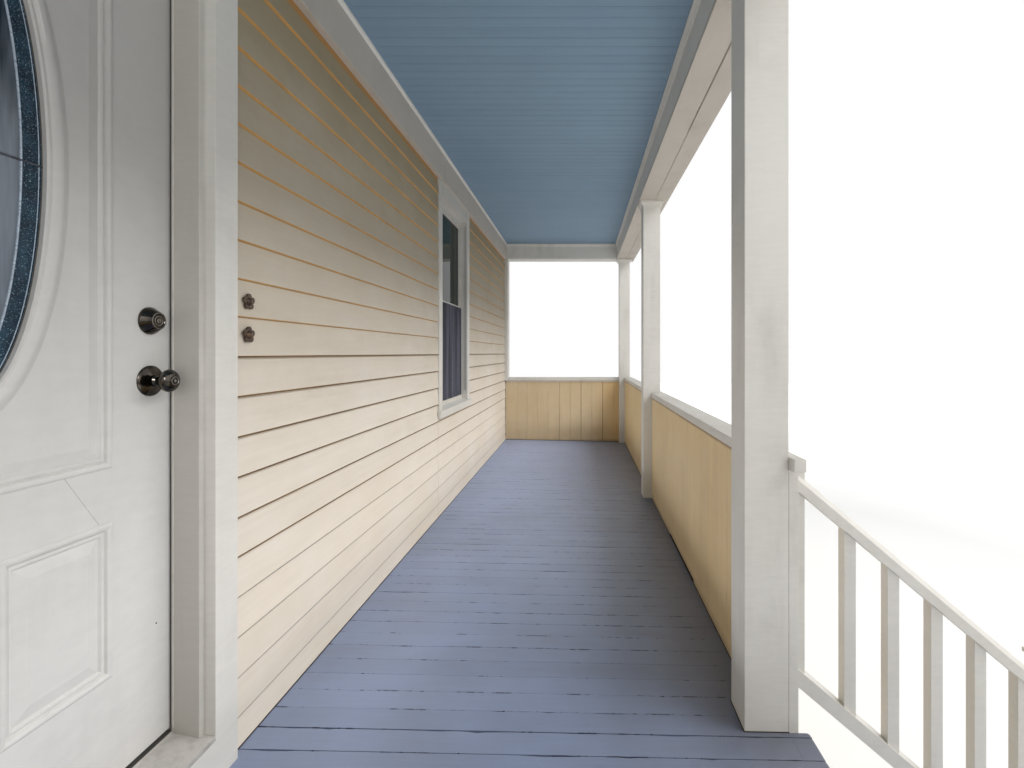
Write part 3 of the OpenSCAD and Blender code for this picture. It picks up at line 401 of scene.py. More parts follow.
def make_paints():
    across_x = (1.0, 0.0, 0.0)
    across_y = (0.0, 1.0, 0.0)
    up = (0.0, 0.0, 1.0)
    brush_up, brush_level = (14.0, 14.0, 70.0), (6.0, 60.0, 60.0)
    white = ((221, 218, 211), (209, 205, 196))
    slate = ((129, 141, 168), (121, 131, 152))

    # Bands of colour that gather along a line: dirt by the knee wall, painted shade, painted light
    # and painted sheen elsewhere
    # Darker just under the cap rail: painted shade
    under_cap = ((124, 84, 50), up, CAP_FOOT_Z - 0.014, CAP_FOOT_Z - 0.004, 0.7)
    # Darker towards the deck at the foot of the walls
    at_foot = ((88, 76, 58), up, FLOOR_Z + 0.020, FLOOR_Z - 0.030, 0.45)
    # Golden towards the post: a stain, made lighter as painted light in the shaded corner
    by_post = ((214, 172, 100), across_y, SIDING_Y - 1.15, SIDING_Y - 1.55, 0.7)
    by_knee_wall = ((92, 84, 76), across_y, SIDING_Y - 1.30, SIDING_Y - 1.60, 0.5)
    # Lighter and bluer towards the far end of the deck: painted sheen
    painted_far_sheen = ((160, 174, 208), across_x, POST_X + 3.6, POST_X + 6.8, 0.6)
    # Golden brown just under the frieze: painted shade, with some dirt
    under_frieze = ((178, 128, 64), up, FRIEZE_Z - 0.036, FRIEZE_Z - 0.022, 0.85)
    # Darker and browner up the house wall: painted shade, with some dirt
    shade_and_dirt_up = ((124, 108, 65), up, 1.75, 3.20, 0.78)
    # The door darker towards its top: painted shade
    painted_shade_top = ((150, 147, 142), up, 1.45, 2.60, 0.46)
    shaded_trim = ((124, 118, 108), up, 1.95, 3.10, 0.25)
    # Darker on the jambs inside the doorway: painted shade
    in_doorway = ((140, 134, 126), across_y, SIDING_Y + 0.004, SIDING_Y + 0.016, 0.42)

    painted("trim_white", *white, brush_up, dirty=0.3, flakes=((112, 102, 88), 0.255, 34.0))
    painted("trim_white_level", *white, brush_level, dirty=0.3)
    painted("trim_window", *white, brush_up, dirty=0.3, bands=(shaded_trim,))
    painted("trim_doorway", (223, 220, 213), (211, 207, 198), brush_up, dirty=0.3,
            bands=(in_doorway,))
    # A darker copy of the trim white for the beam's soffit, the frieze and the beads: painted shade
    painted("trim_sheltered", (194, 186, 175), (184, 175, 162), brush_level, dirty=0.3)
    painted("trim_weathered", (176, 173, 165), (162, 158, 149), brush_level, dirty=0.5)
    # siding_cream is plain; the house wall's paint carries the painted shade up the wall and under
    # the frieze
    for name, bands in (("siding_cream", ()), ("siding_sheltered", (shade_and_dirt_up, under_frieze))):
        painted(name, (226, 217, 204), (219, 206, 186), (3.0, 60.0, 60.0), drift=0.6,
                dirt=(170, 148, 112), streaks=(2.0, 6.0, 14.0),
                rows=(up, SIDING_LOW, SIDING_FIRST + FLOOR_Z, 0.010), tones=0.015,
                bands=bands, gloss=(0.66, 0.8))
    # Golden paint for the butts' undersides: painted warm light from below
    painted("siding_underside", (206, 160, 92), (190, 140, 74), (3.0, 60.0, 60.0), dirty=0.3)
    painted("panel_tan", (212, 192, 158), (202, 178, 138), (60.0, 60.0, 4.0), drift=0.7,
            dirty=0.35, dirt=(168, 132, 80), streaks=(9.0, 9.0, 1.2),
            rows=(across_y, PANEL_PITCH, SIDING_Y + PANEL_JOINT_Y, 0.008), tones=0.035,
            joint=((132, 100, 62), 0.22, 0.45, 0.62), bands=(by_post, under_cap, at_foot))
    painted("panel_tan_front", (233, 208, 162), (222, 193, 142), (60.0, 60.0, 4.0), drift=0.7,
            dirty=0.3, dirt=(176, 140, 86), streaks=(9.0, 9.0, 1.2),
            rows=(across_x, PANEL_PITCH, POST_X + STAIR_POST_X + POST_HALF, 0.006),
            tones=0.02, joint=((124, 92, 58), 0.4, 0.5, 0.66), bands=(under_cap, at_foot))
    painted("deck_slate", *slate, (70.0, 5.0, 70.0), drift=0.8,
            dirty=0.35, dirt=(112, 108, 106), streaks=(7.0, 1.2, 7.0),
            rows=(across_x, DECK_PITCH, POST_X + DECK_JOINT_X, 0.005), tones=0.035,
            joint=((38, 40, 50), 1.0, 0.54, 0.60), flakes=((44, 42, 44), 0.225, 30.0),
            gloss=(0.30, 0.46), bands=(painted_far_sheen, by_knee_wall))
    painted("tread_slate", *slate, (5.0, 70.0, 70.0), drift=0.8,
            dirty=0.5, dirt=(104, 100, 98), streaks=(1.2, 7.0, 7.0),
            flakes=((62, 58, 54), 0.25, 20.0), gloss=(0.3, 0.5))
    painted("ceiling_blue", (126, 151, 171), (119, 145, 167), (60.0, 4.0, 60.0),
            dirty=0.12, dirt=(100, 110, 118),
            rows=(across_x, CEILING_PITCH, POST_X + CEILING_JOINT_X, 0.004), tones=0.02,
            gloss=(0.6, 0.75))
    painted("door_white", (222, 220, 216), (215, 212, 208), (16.0, 16.0, 40.0), drift=0.4,
            dirty=0.15, gloss=(0.34, 0.48), bands=(painted_shade_top,))
    painted("smooth_plaster", (222, 217, 206), (212, 205, 192), (22.0, 22.0, 22.0),
            dirty=0.1, gloss=(0.75, 0.9))


def make_sawn_wood():
    tree, shader = new_material("sawn_wood", 0.78)
    grain = use(tree, "wood_grain", Light=srgb(186, 156, 112), Dark=srgb(142, 108, 70),
                Along=(9.0, 9.0, 60.0))
    seen = dirtied(tree, grain["Colour"], (92, 78, 62), 0.6, (5.0, 5.0, 5.0))
    wire(tree, shader, seen, grain["Height"], 0.0012)


def make_gritty(name, light, dark, size, roughness, height):
    tree, shader = new_material(name, roughness)
    grit = use(tree, "grit", Light=srgb(*light), Dark=srgb(*dark), Size=size)
    seen = dirtied(tree, grit["Colour"], (70, 66, 58), 0.25, (4.0, 4.0, 1.0))
    wire(tree, shader, seen, grit["Height"], height)


def make_metals():
    """Metals and the painted sill, each with its clean and its worn colour."""
    for name, colour, worn, metallic, rough, dirty in (
            ("aged_lock_metal", (70, 66, 61), (110, 104, 96), 1.0, (0.08, 0.18), 0.1),
            # The lighter metal of the rings in the lock's and knob's faces is a painted highlight
            ("lock_edges", (150, 145, 138), (96, 92, 88), 0.8, (0.14, 0.26), 0.2),
            ("plate_bronze", (74, 60, 50), (116, 94, 74), 0.6, (0.3, 0.46), 0.5),
            ("worn_sill", (182, 179, 173), (164, 160, 154), 0.0, (0.36, 0.58), 0.28),
            # Silvery leads, whose pale blue is a painted reflection of the sky
            ("came_metal", (176, 190, 204), (150, 164, 180), 0.3, (0.22, 0.4), 0.2),
            ("lead_dark", (66, 70, 78), (104, 108, 114), 0.6, (0.28, 0.46), 0.3)):
        tree, shader = new_material(name, 0.4, metallic)
        where = coordinates(tree)
        patina = cloud(tree, where, 46.0, 5.0, 0.6)
        scuffs = cloud(tree, scaled(tree, where, (30.0, 240.0, 240.0)), 1.0, 3.0)
        seen = toned(tree, patina, 0.45, 0.72, colour, worn)
        seen = dirtied(tree, seen, (60, 54, 48), dirty, (20.0, 20.0, 20.0))
        wire(tree, shader, seen, patina, 0.0002, ramp(tree, scuffs, 0.3, 0.7, *rough))


def make_glasses():
    """The dark window panes, the smoky middle of the door's light and its hammered band.
    The panes' dark tone is painted shade of the room behind, the smoky middle's upright
    light streaks are painted reflections, and the band's pale flecks are painted glints.
    """
    for name, dark, light, level, grain in (
            # Nearly black green: painted shade of the room behind the panes
            ("glass_dark", (14, 24, 20), (34, 48, 40), 0.1, (2.0, 2.0, 1.2)),
            # Upright light streaks over the dark smoke: painted reflections
            ("glass_smoky", (20, 34, 46), (128, 136, 146), 0.25, (22.0, 22.0, 2.2))):
        tree, shader = new_material(name, 0.05, IOR=1.45, Specular_IOR_Level=level)
        cast = cloud(tree, scaled(tree, coordinates(tree), grain), 1.0, 3.0, 0.55)
        wire(tree, shader, toned(tree, cast, 0.35, 0.65, dark, light), cast, 0.0006)

    tree, shader = new_material("glass_hammered", 0.1, IOR=1.5, Specular_IOR_Level=0.25)
    where = coordinates(tree)
    dimples = put(tree, "ShaderNodeTexVoronoi", {"Vector": where, "Scale": 300.0},
                  feature="SMOOTH_F1").outputs["Distance"]
    cast = cloud(tree, where, 30.0, 3.0)
    seen = toned(tree, cast, 0.35, 0.65, (12, 34, 50), (34, 62, 78))
    # Pale flecks at the dimples: painted glints
    painted_glint = ramp(tree, dimples, 0.26, 0.10)
    wire(tree, shader, blended(tree, painted_glint, seen, srgb(132, 156, 170)), dimples, 0.0014)


def make_screen():
    """Insect mesh with soft upright lights, as the panes behind it give."""
    tree, shader = new_material("woven_screen", 0.85, Alpha=0.95, Specular_IOR_Level=0.0)
    where = coordinates(tree)
    wires, rows = [put(tree, "ShaderNodeTexWave", {"Vector": where, "Scale": 210.0},
                       bands_direction=axis).outputs["Fac"] for axis in "XZ"]
    weave = maths(tree, "MAXIMUM", wires, rows)
    soft = cloud(tree, scaled(tree, where, (26.0, 1.0, 1.1)), 1.0, 3.0)
    lit = toned(tree, soft, 0.42, 0.66, (84, 86, 92), (128, 128, 144))
    wire(tree, shader, blended(tree, weave, srgb(60, 60, 68), lit), weave, 0.0004)


def two_tones(name, roughness, scale, detail, one, other, stretch=None):
    """A finish of two tones in soft clouds, which stretch draws out along a board."""
    tree, shader = new_material(name, roughness)
    where = coordinates(tree)
    if stretch:
        where = scaled(tree, where, stretch)
    cast = cloud(tree, where, scale, detail)
    tree.links.new(blended(tree, cast, srgb(*one), srgb(*other)), shader.inputs["Base Color"])
    return tree, shader


def make_small_finishes():
    two_tones("rubber_seal", 0.6, 40.0, 3.0, (56, 54, 52), (82, 80, 76))
    two_tones("crack_grey", 0.8, 60.0, 4.0, (158, 152, 144), (204, 200, 194))
    two_tones("joint_dirt", 0.85, 30.0, 4.0, (34, 28, 24), (74, 62, 50))
    two_tones("lap_dirt", 0.85, 1.0, 4.0, (92, 72, 46), (150, 124, 88), (3.0, 20.0, 20.0))
    two_tones("caulk", 0.55, 24.0, 4.0, (226, 224, 218), (186, 180, 168))


# Modelling

def choose(*pieces):
    bpy.ops.object.select_all(action="DESELECT")
    for piece in pieces:
        piece.select_set(True)
    bpy.context.view_layer.objects.active = pieces[0]


def placed(scale=(1, 1, 1)):
    """The piece that was made last, stretched, with its place and turn taken into its mesh."""
    made = bpy.context.object
    made.scale = scale
    bpy.ops.object.transform_apply()
    return made


def block(low, high):
    """A block between two corners."""
    a, b = at(*low), at(*high)
    bpy.ops.mesh.primitive_cube_add(size=1, location=(a + b) / 2)
    return placed(b - a)


def joined(pieces):
    choose(*pieces)
    if len(pieces) > 1:
        bpy.ops.object.join()
    return bpy.context.object


def apply_modifier(piece, kind, **settings):
    """Adds a modifier to a piece and applies it at once."""
    choose(piece)
    modifier = piece.modifiers.new(kind.lower(), kind)
    for key, value in settings.items():
        setattr(modifier, key, value)
    bpy.ops.object.modifier_apply(modifier=modifier.name)


def ease(piece, width, segments=2, angle=30.0):
    """Rounds all edges that turn by more than an angle."""
    apply_modifier(piece, "BEVEL", width=width, segments=segments, limit_method="ANGLE",
                   angle_limit=math.radians(angle))


def rod(a, b, radius, sides=10):
    """A straight round bar between two places."""
    a, b = at(*a), at(*b)
    bpy.ops.mesh.primitive_cylinder_add(vertices=sides, radius=radius, depth=(b - a).length,
                                        location=(a + b) / 2,
                                        rotation=(b - a).to_track_quat("Z", "Y").to_euler())
    return placed()


def disc(centre, radius, y0, y1, sides=32):
    """A flat round piece that faces the street, from y0 to y1."""
    return rod((centre[0], y0, centre[1]), (centre[0], y1, centre[1]), radius, sides)


def divide(piece, axis, places):
    """Cuts rings of edges round a piece at places along an axis."""
    choose(piece)
    bpy.ops.object.mode_set(mode="EDIT")
    normal = Vector([1.0 if i == axis else 0.0 for i in range(3)])
    for place in places:
        bpy.ops.mesh.select_all(action="SELECT")
        bpy.ops.mesh.bisect(plane_co=normal * place, plane_no=normal)
    bpy.ops.object.mode_set(mode="OBJECT")


def raise_foot(piece, ends, foot, top):
    """Lifts the foot of a piece to a new height between two places along the porch."""
    a, b = [POST_X + x for x in ends]
    edge = 0.0005
    divide(piece, 0, (a, a + edge, b - edge, b))
    for vertex in piece.data.vertices:
        if a + 0.8 * edge < vertex.co.x < b - 0.8 * edge and vertex.co.z < foot:
            vertex.co.z = top


def finish(piece, name, material, slot, body="porch", replaced=(), angle=35.0, under=None,
           above=None):
    """Names a piece, shades and paints it, and says what it rides on and stands for."""
    piece.name = piece.data.name = name
    piece.data.materials.clear()
    piece.data.materials.append(bpy.data.materials[material])
    choose(piece)
    bpy.ops.object.shade_smooth_by_angle(angle=math.radians(angle))
    apply_modifier(piece, "WEIGHTED_NORMAL", keep_sharp=True)
    # Faces that point down or up take a second finish: the golden undersides of the clapboards are
    # painted light, the weathered tops of the caps are wear
    if under or above:
        piece.data.materials.append(bpy.data.materials[under or above])
        side = -1 if under else 1
        for face in piece.data.polygons:
            face.material_index = 1 if face.normal.z * side > 0.6 else 0
    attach(piece, body)
    if replaced:
        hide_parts(*replaced)


def build(pieces, name, material, slot, width=None, angle=30.0, **rest):
    """Joins pieces to one, rounds its edges where a width is given, and finishes it."""
    whole = joined(pieces)
    if width:
        ease(whole, width, angle=angle)
    finish(whole, name, material, slot, **rest)


def solid_copy(node, quads=False):
    """A copy of a CAD node with its loose triangles merged to whole faces."""
    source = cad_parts[node]
    piece = bpy.data.objects.new(node + "_copy", source.data.copy())
    bpy.context.scene.collection.objects.link(piece)
    choose(piece)
    if piece.data.has_custom_normals:
        bpy.ops.mesh.customdata_custom_splitnormals_clear()
    bpy.ops.object.mode_set(mode="EDIT")
    bpy.ops.mesh.select_all(action="SELECT")
    bpy.ops.mesh.remove_doubles(threshold=0.00002)
    if quads:
        bpy.ops.mesh.tris_convert_to_quads()
    else:
        bpy.ops.mesh.dissolve_limited(angle_limit=math.radians(0.5))
    bpy.ops.object.mode_set(mode="OBJECT")
    return piece


def lift_pilasters(piece):
    """Ends the white corner strips inside the porch on the caps, as the photograph shows."""
    reach = POST_HALF + 0.001
    for vertex in piece.data.vertices:
        inside = -reach < vertex.co.x - POST_X < FAR_POST_X + reach
        if inside and abs(vertex.co.z - FLOOR_Z) < 0.05:
            vertex.co.z = CAP_FOOT_Z


def draw_in_eave(piece):
    """Brings the roof's edge nearer to the beam, up along the roof's slope."""
    for vertex in piece.data.vertices:
        if vertex.co.y < SIDING_Y + EAVE_Y:
            vertex.co.y += EAVE_IN
            if vertex.co.z > EAVE_FOOT_Z:
                vertex.co.z += EAVE_IN * ROOF_PITCH


def eased_copy(node, name, width, material, slot, above=None):
    """A copy of a CAD node with its edges rounded, which stands for the node."""
    piece = solid_copy(node)
    if node in ROOF_EDGE_NODES:
        draw_in_eave(piece)
    if node == "wall_pilasters":
        lift_pilasters(piece)
    ease(piece, width)
    finish(piece, name, material, slot, replaced=[node], above=above)


def board_row(start, stop, pitch, joint):
    """Ends of the boards of a row from start to stop, with a joint at one known place."""
    first = joint + math.floor((start - joint) / pitch) * pitch
    ends = []
    while first < stop - 0.001:
        ends.append((max(first, start), min(first + pitch, stop)))
        first += pitch
    return [(a, b) for a, b in ends if b - a > 0.004]


def stand_on_deck(piece, reach=0.2):
    """Brings the foot of a piece down to the sloping deck."""
    for vertex in piece.data.vertices:
        if abs(vertex.co.z - FLOOR_Z) < reach:
            vertex.co.z = deck_z(vertex.co.y - SIDING_Y)


def tilt(piece):
    """Lays a piece that was made level at height 0 on the sloping deck."""
    for vertex in piece.data.vertices:
        vertex.co.z += deck_z(vertex.co.y - SIDING_Y)


# Deck

def joint_gap(x):
    """Width of a deck joint: most are filled with paint, two by the door are open."""
    count = round((x - DECK_JOINT_X) / DECK_PITCH)
    return 0.0030 if count in (0, 1) else 0.0003 + 0.0005 * abs(noise.noise((count * 1.7, 0, 0)))


def make_deck():
    """Boards with worn, open joints, and the round nosing over the stairs."""
    thick = 0.025
    nose_y, back_y = Y_CLAD - 0.038, 0.012
    boards = []
    for a, b in board_row(-POST_HALF, FAR_POST_X + POST_HALF, DECK_PITCH, DECK_JOINT_X):
        lift = random.uniform(-0.0003, 0.0003)
        a, b = a + joint_gap(a) / 2, b - joint_gap(b) / 2
        boards.append(block((a, Y_POST_OUT, lift - thick), (b, back_y, lift)))
        a, b = max(a, POST_HALF), min(b, STAIR_POST_X - POST_HALF)
        if b - a > 0.005:
            boards.append(block((a, nose_y, lift - thick), (b, Y_POST_OUT, lift)))
    deck = joined(boards)
    round_nosing(deck, nose_y, thick)
    ease(deck, 0.0009, 2, 60.0)
    steps = 64
    length = back_y - nose_y
    divide(deck, 1, [SIDING_Y + nose_y + length * (i + 0.5) / steps for i in range(steps)])
    wear_joints(deck)
    tilt(deck)
    finish(deck, "deck_boards", "deck_slate", "deck_paint", replaced=["deck_floor"])


def round_nosing(deck, nose_y, thick):
    """Rounds the front edge of the boards over the stairs to a half circle."""
    choose(deck)
    front = SIDING_Y + nose_y
    bpy.ops.object.mode_set(mode="EDIT")
    bpy.ops.mesh.select_all(action="DESELECT")
    bpy.ops.object.mode_set(mode="OBJECT")
    for edge in deck.data.edges:
        ends = [deck.data.vertices[i].co for i in edge.vertices]
        level = abs(ends[0].z - ends[1].z) < 0.0001
        edge.select = level and all(abs(end.y - front) < 0.0001 for end in ends)
    bpy.ops.object.mode_set(mode="EDIT")
    bpy.ops.mesh.select_mode(type="EDGE")
    bpy.ops.mesh.bevel(offset=thick / 2 - 0.0005, segments=4, affect="EDGES")
    bpy.ops.mesh.select_mode(type="VERT")
    bpy.ops.object.mode_set(mode="OBJECT")


def wear_joints(deck):
    """Nibbles the upper edges of the boards, more at some joints than at others."""
    reach, most = 0.006, 0.004
    start = POST_X + DECK_JOINT_X
    for vertex in deck.data.vertices:
        count = (vertex.co.x - start) / DECK_PITCH
        nearest = round(count)
        off = (count - nearest) * DECK_PITCH
        if vertex.co.z > -reach and 0.0002 < abs(off) < reach:
            here = Vector((nearest * 3.1, vertex.co.y * 5.0, 0.0))
            amount = max(0.0, noise.noise(here) - 0.18) + max(0.0, noise.noise(here * 5.0) - 0.25)
            vertex.co.x += math.copysign(min(reach * amount, most), off)
            vertex.co.z -= 0.003 * amount


# Knee walls, cladding and skirt

def panel_boards(ends, joints, make):
    """Upright boards side by side, their joints filled with paint but for a few."""
    boards = []
    for a, b in ends:
        gaps = [max([joint[1] for joint in joints if abs(place - joint[0]) < 0.002] + [0.0005])
                for place in (a, b)]
        boards.append(make(a + gaps[0] / 2, b - gaps[1] / 2))
    return boards


def make_knee_walls():
    top = CAP_FOOT_Z
    slot_top = deck_z(Y_KNEE) + SLOT_HIGH
    boards = []
    for x in (STAIR_POST_X, STAIR_POST_X + BAY):
        x0, x1 = x + POST_HALF, x + BAY - POST_HALF
        ends = board_row(x0, x1, PANEL_PITCH, STAIR_POST_X + POST_HALF)
        boards += panel_boards(ends, (), lambda a, b: block((a, Y_POST_OUT, FLOOR_Z),
                                                            (b, Y_KNEE, top)))
    front = joined(boards)
    stand_on_deck(front)
    raise_foot(front, SLOT_X, slot_top, slot_top)
    ease(front, 0.0010)
    finish(front, "knee_wall_boards_front", "panel_tan_front", "panel_paint",
           replaced=["knee_walls_front"])

    low, high = span("knee_walls_ends")
    boards = []
    for x0, x1 in ((low.x, 0.0), (FAR_POST_X, high.x)):
        ends = board_row(low.y, 0.0, PANEL_PITCH, PANEL_JOINT_Y)
        boards += panel_boards(ends, END_JOINTS, lambda a, b: block((x0, a, FLOOR_Z), (x1, b, top)))
    side = joined(boards)
    stand_on_deck(side)
    ease(side, 0.0010)
    finish(side, "knee_wall_boards_ends", "panel_tan", "panel_paint",
           replaced=["knee_walls_ends"])


def make_joint_dirt():
    """Dark dirt in the open joints of the end walls, and dark lines where walls and posts meet the
    deck.
    """
    low, high = span("knee_walls_ends")
    lines = []
    for x0, x1 in ((low.x + 0.002, -0.0015), (FAR_POST_X + 0.0015, high.x - 0.002)):
        for y, width, reach in END_JOINTS:
            top = min(FLOOR_Z + reach, CAP_FOOT_Z - 0.001)
            lines.append(block((x0, y - width / 2, FLOOR_Z), (x1, y + width / 2, top)))
    foot, proud, inside = 0.0055, 0.0012, 0.01
    half = POST_HALF + proud
    post_y = (Y_POST_OUT - proud, Y_POST_OUT + 2 * half)
    feet = [((FAR_POST_X - proud, post_y[1], 0), (FAR_POST_X + inside, 0.0, foot)),
            ((-inside, post_y[1], 0), (proud, 0.0, foot)),
            ((STAIR_POST_X + POST_HALF, Y_KNEE - inside, 0),
             (FAR_POST_X - POST_HALF, Y_KNEE + proud, foot)),
            ((CASING_X[1], -proud, 0), (FAR_POST_X, 0.006, 0.004)),
            ((STAIR_POST_X - half, post_y[0], 0), (STAIR_POST_X + half, post_y[1], 0.003))]
    for low_corner, high_corner in feet:
        lines.append(block(low_corner, high_corner))
        tilt(lines[-1])
    dirt = joined(lines)
    stand_on_deck(dirt, 0.0008)
    finish(dirt, "joint_dirt", "joint_dirt", "panel_paint")


def clapboard(x0, x1, z0, z1, face, back):
    """One lapped board: thick at its butt below, thin where the next one covers it."""
    board = block((x0, face, z0), (x1, back, z1))
    for vertex in board.data.vertices:
        if vertex.co.y < SIDING_Y + face + 0.0001:
            if vertex.co.z > z1 - 0.0001:
                vertex.co.y += SIDING_TAPER
            else:
                vertex.co.z += BUTT_SLOPE
    return board


def clapboards(x0, x1, levels, face, back):
    return [clapboard(x0, x1, z0, z1, face, back) for z0, z1 in zip(levels, levels[1:])]


def siding_levels():
    """Heights of the butts on the house wall, from the deck to the frieze."""
    levels = [FLOOR_Z, FLOOR_Z + SIDING_FIRST]
    for pitch in (SIDING_LOW, SIDING_HIGH):
        for _ in range(10):
            levels.append(levels[-1] + pitch)
    return [z + random.uniform(-0.0015, 0.0015) for z in levels[:-1]] + [FRIEZE_Z]


def build_siding(boards, name, material, **rest):
    build(boards, name, material, "siding_paint", 0.0008, 50.0, **rest)


def make_house_siding():
    levels = siding_levels()
    levels[0] = FLOOR_Z
    below = [z for z in levels if z < WINDOW_SILL_Z - 0.01] + [WINDOW_SILL_Z]
    under_cap = [z for z in levels if z < CAP_FOOT_Z] + [CAP_FOOT_Z + 0.001]
    boards = []
    for x0, x1, heights in (
            (POST_HALF, CASING_X[0], levels), (CASING_X[1], WINDOW_X[0] - 0.0025, levels),
            (*WINDOW_X, below), (WINDOW_X[1], FAR_POST_X - POST_HALF, levels),
            (FAR_POST_X - POST_HALF, FAR_POST_X, under_cap), (0.0, POST_HALF, under_cap)):
        boards += clapboards(x0, x1, heights, 0.0, SIDING_DEEP)
    # The butts' undersides take the golden paint, which is painted light
    build_siding(boards, "house_clapboards", "siding_sheltered", replaced=["wall_siding"],
                 under="siding_underside")
    make_lap_shadows(levels)

    low, high = span("wall_siding")
    roof_line = high.z - 0.230
    levels = [roof_line, roof_line + 0.115, high.z]
    build_siding(clapboards(low.x, high.x, levels, 0.0, SIDING_DEEP), "clapboards_over_roof",
                 "siding_cream")


def make_lap_shadows(levels):
    """Painted shadow lines along the laps below the eye, where the butts would hide their real
    shadows.
    """
    dark_from = 1.34
    dark, faint = [], []
    for z in [z for z in levels[1:] if z <= EYE[2]]:
        runs = [(POST_HALF, CASING_X[0]), (CASING_X[1], FAR_POST_X - POST_HALF)]
        if z >= WINDOW_SILL_Z - 0.01:
            runs[1:] = [(CASING_X[1], WINDOW_X[0] - 0.003), (WINDOW_X[1], runs[1][1])]
        lines, deep = (dark, 0.0019) if z > dark_from else (faint, 0.0007)
        lines += [block((a, 0.0010, z - deep), (b, 0.0060, z + 0.0012)) for a, b in runs]
    build(dark, "lap_dirt", "lap_dirt", "siding_paint")
    build(faint, "lap_dirt_low", "crack_grey", "siding_paint")


def turned(pieces, degrees, shift):
    """Turns pieces about the near corner post's upright axis and moves them along."""
    whole = joined(pieces)
    corner = at(0, 0, 0)
    turn = Matrix.Rotation(math.radians(degrees), 4, "Z")
    whole.data.transform(Matrix.Translation(corner + Vector(shift)) @ turn
                         @ Matrix.Translation(-corner))
    return whole


def make_cladding():
    """Lapped boards outside the knee walls, with white corner boards."""
    low, high = span("cladding_main")
    thick, pilaster, proud = 0.031, 0.034, 0.002
    board_w, side_w = 0.090, 0.060
    courses = 9
    levels = [low.z + (high.z - low.z) * i / courses for i in range(courses + 1)]
    face, back = Y_CLAD + proud, Y_POST_OUT
    reach = POST_HALF + thick
    side_face = -reach + proud
    near_edge, far_edge = STAIR_POST_X - POST_HALF, FAR_POST_X + reach
    side_y = (Y_POST_OUT + side_w, -pilaster - 0.001)

    main = clapboards(near_edge + thick, far_edge - board_w, levels, face, back)
    raise_foot(main[2], SLOT_X, levels[2] + 0.001, deck_z(Y_KNEE) + SLOT_HIGH)
    far_side = clapboards(*side_y, levels, side_face, -POST_HALF)
    main.append(turned(far_side, 90, (FAR_POST_X, 0, 0)))
    build_siding(main, "cladding_boards_main", "siding_cream", replaced=["cladding_main"])

    near = clapboards(-reach + board_w, POST_HALF - thick, levels, face, back)
    near_side = clapboards(-side_y[1], -side_y[0], levels, side_face, -POST_HALF)
    near.append(turned(near_side, -90, (0, 0, 0)))
    build_siding(near, "cladding_boards_near", "siding_cream", replaced=["cladding_near"])

    corners = []
    for x0, x1, y0, y1 in (
            (near_edge, near_edge + thick, Y_CLAD, Y_POST_OUT),
            (POST_HALF - thick, POST_HALF, Y_CLAD, Y_POST_OUT),
            (-reach, -reach + board_w, Y_CLAD, Y_POST_OUT),
            (far_edge - board_w, far_edge, Y_CLAD, Y_POST_OUT),
            (-reach, -POST_HALF, Y_POST_OUT, side_y[0]),
            (FAR_POST_X + POST_HALF, far_edge, Y_POST_OUT, side_y[0])):
        corners.append(block((x0, y0, low.z), (x1, y1, high.z)))
    build(corners, "corner_boards", "trim_white", "trim_paint", 0.0015)


def make_skirt():
    """Upright boards with narrow gaps below the cladding."""
    low, high = span("skirt_boards")
    thick, gap, stair_top = 0.015, 0.008, 0.350
    boards = []
    for a, b in board_row(low.x, high.x, PANEL_PITCH, POST_HALF):
        under_stair = a > POST_HALF - 0.01 and b < STAIR_POST_X - POST_HALF + 0.03
        top = stair_top if under_stair else high.z
        boards.append(block((a + gap / 2, low.y, low.z), (b - gap / 2, low.y + thick, top)))
    for x0, x1 in ((low.x, low.x + thick), (high.x - thick, high.x)):
        for a, b in board_row(low.y + thick, high.y, PANEL_PITCH, 0.0):
            boards.append(block((x0, a + gap / 2, low.z), (x1, b - gap / 2, high.z)))
    build(boards, "skirt_planks", "panel_tan_front", "panel_paint", 0.0015,
          replaced=["skirt_boards"])


# Ceiling and roof

def make_ceiling():
    """Narrow boards with a bead beside each joint."""
    low, high = span("ceiling_boards")
    groove, deep, bead_w, gap = 0.0016, 0.0007, 0.010, 0.0004
    boards = []
    for a, b in board_row(low.x, high.x, CEILING_PITCH, CEILING_JOINT_X):
        flat = b - bead_w - groove
        parts = [(flat, flat + groove, deep), (flat + groove, b - gap, 0.0)]
        if flat - a > 0.01:
            parts.insert(0, (a + gap, flat, 0.0))
        for x0, x1, lift in parts:
            boards.append(block((x0, low.y, low.z + lift), (x1, high.y, high.z)))
    build(boards, "ceiling_beaded_boards", "ceiling_blue", "ceiling_paint", deep,
          replaced=["ceiling_boards"])


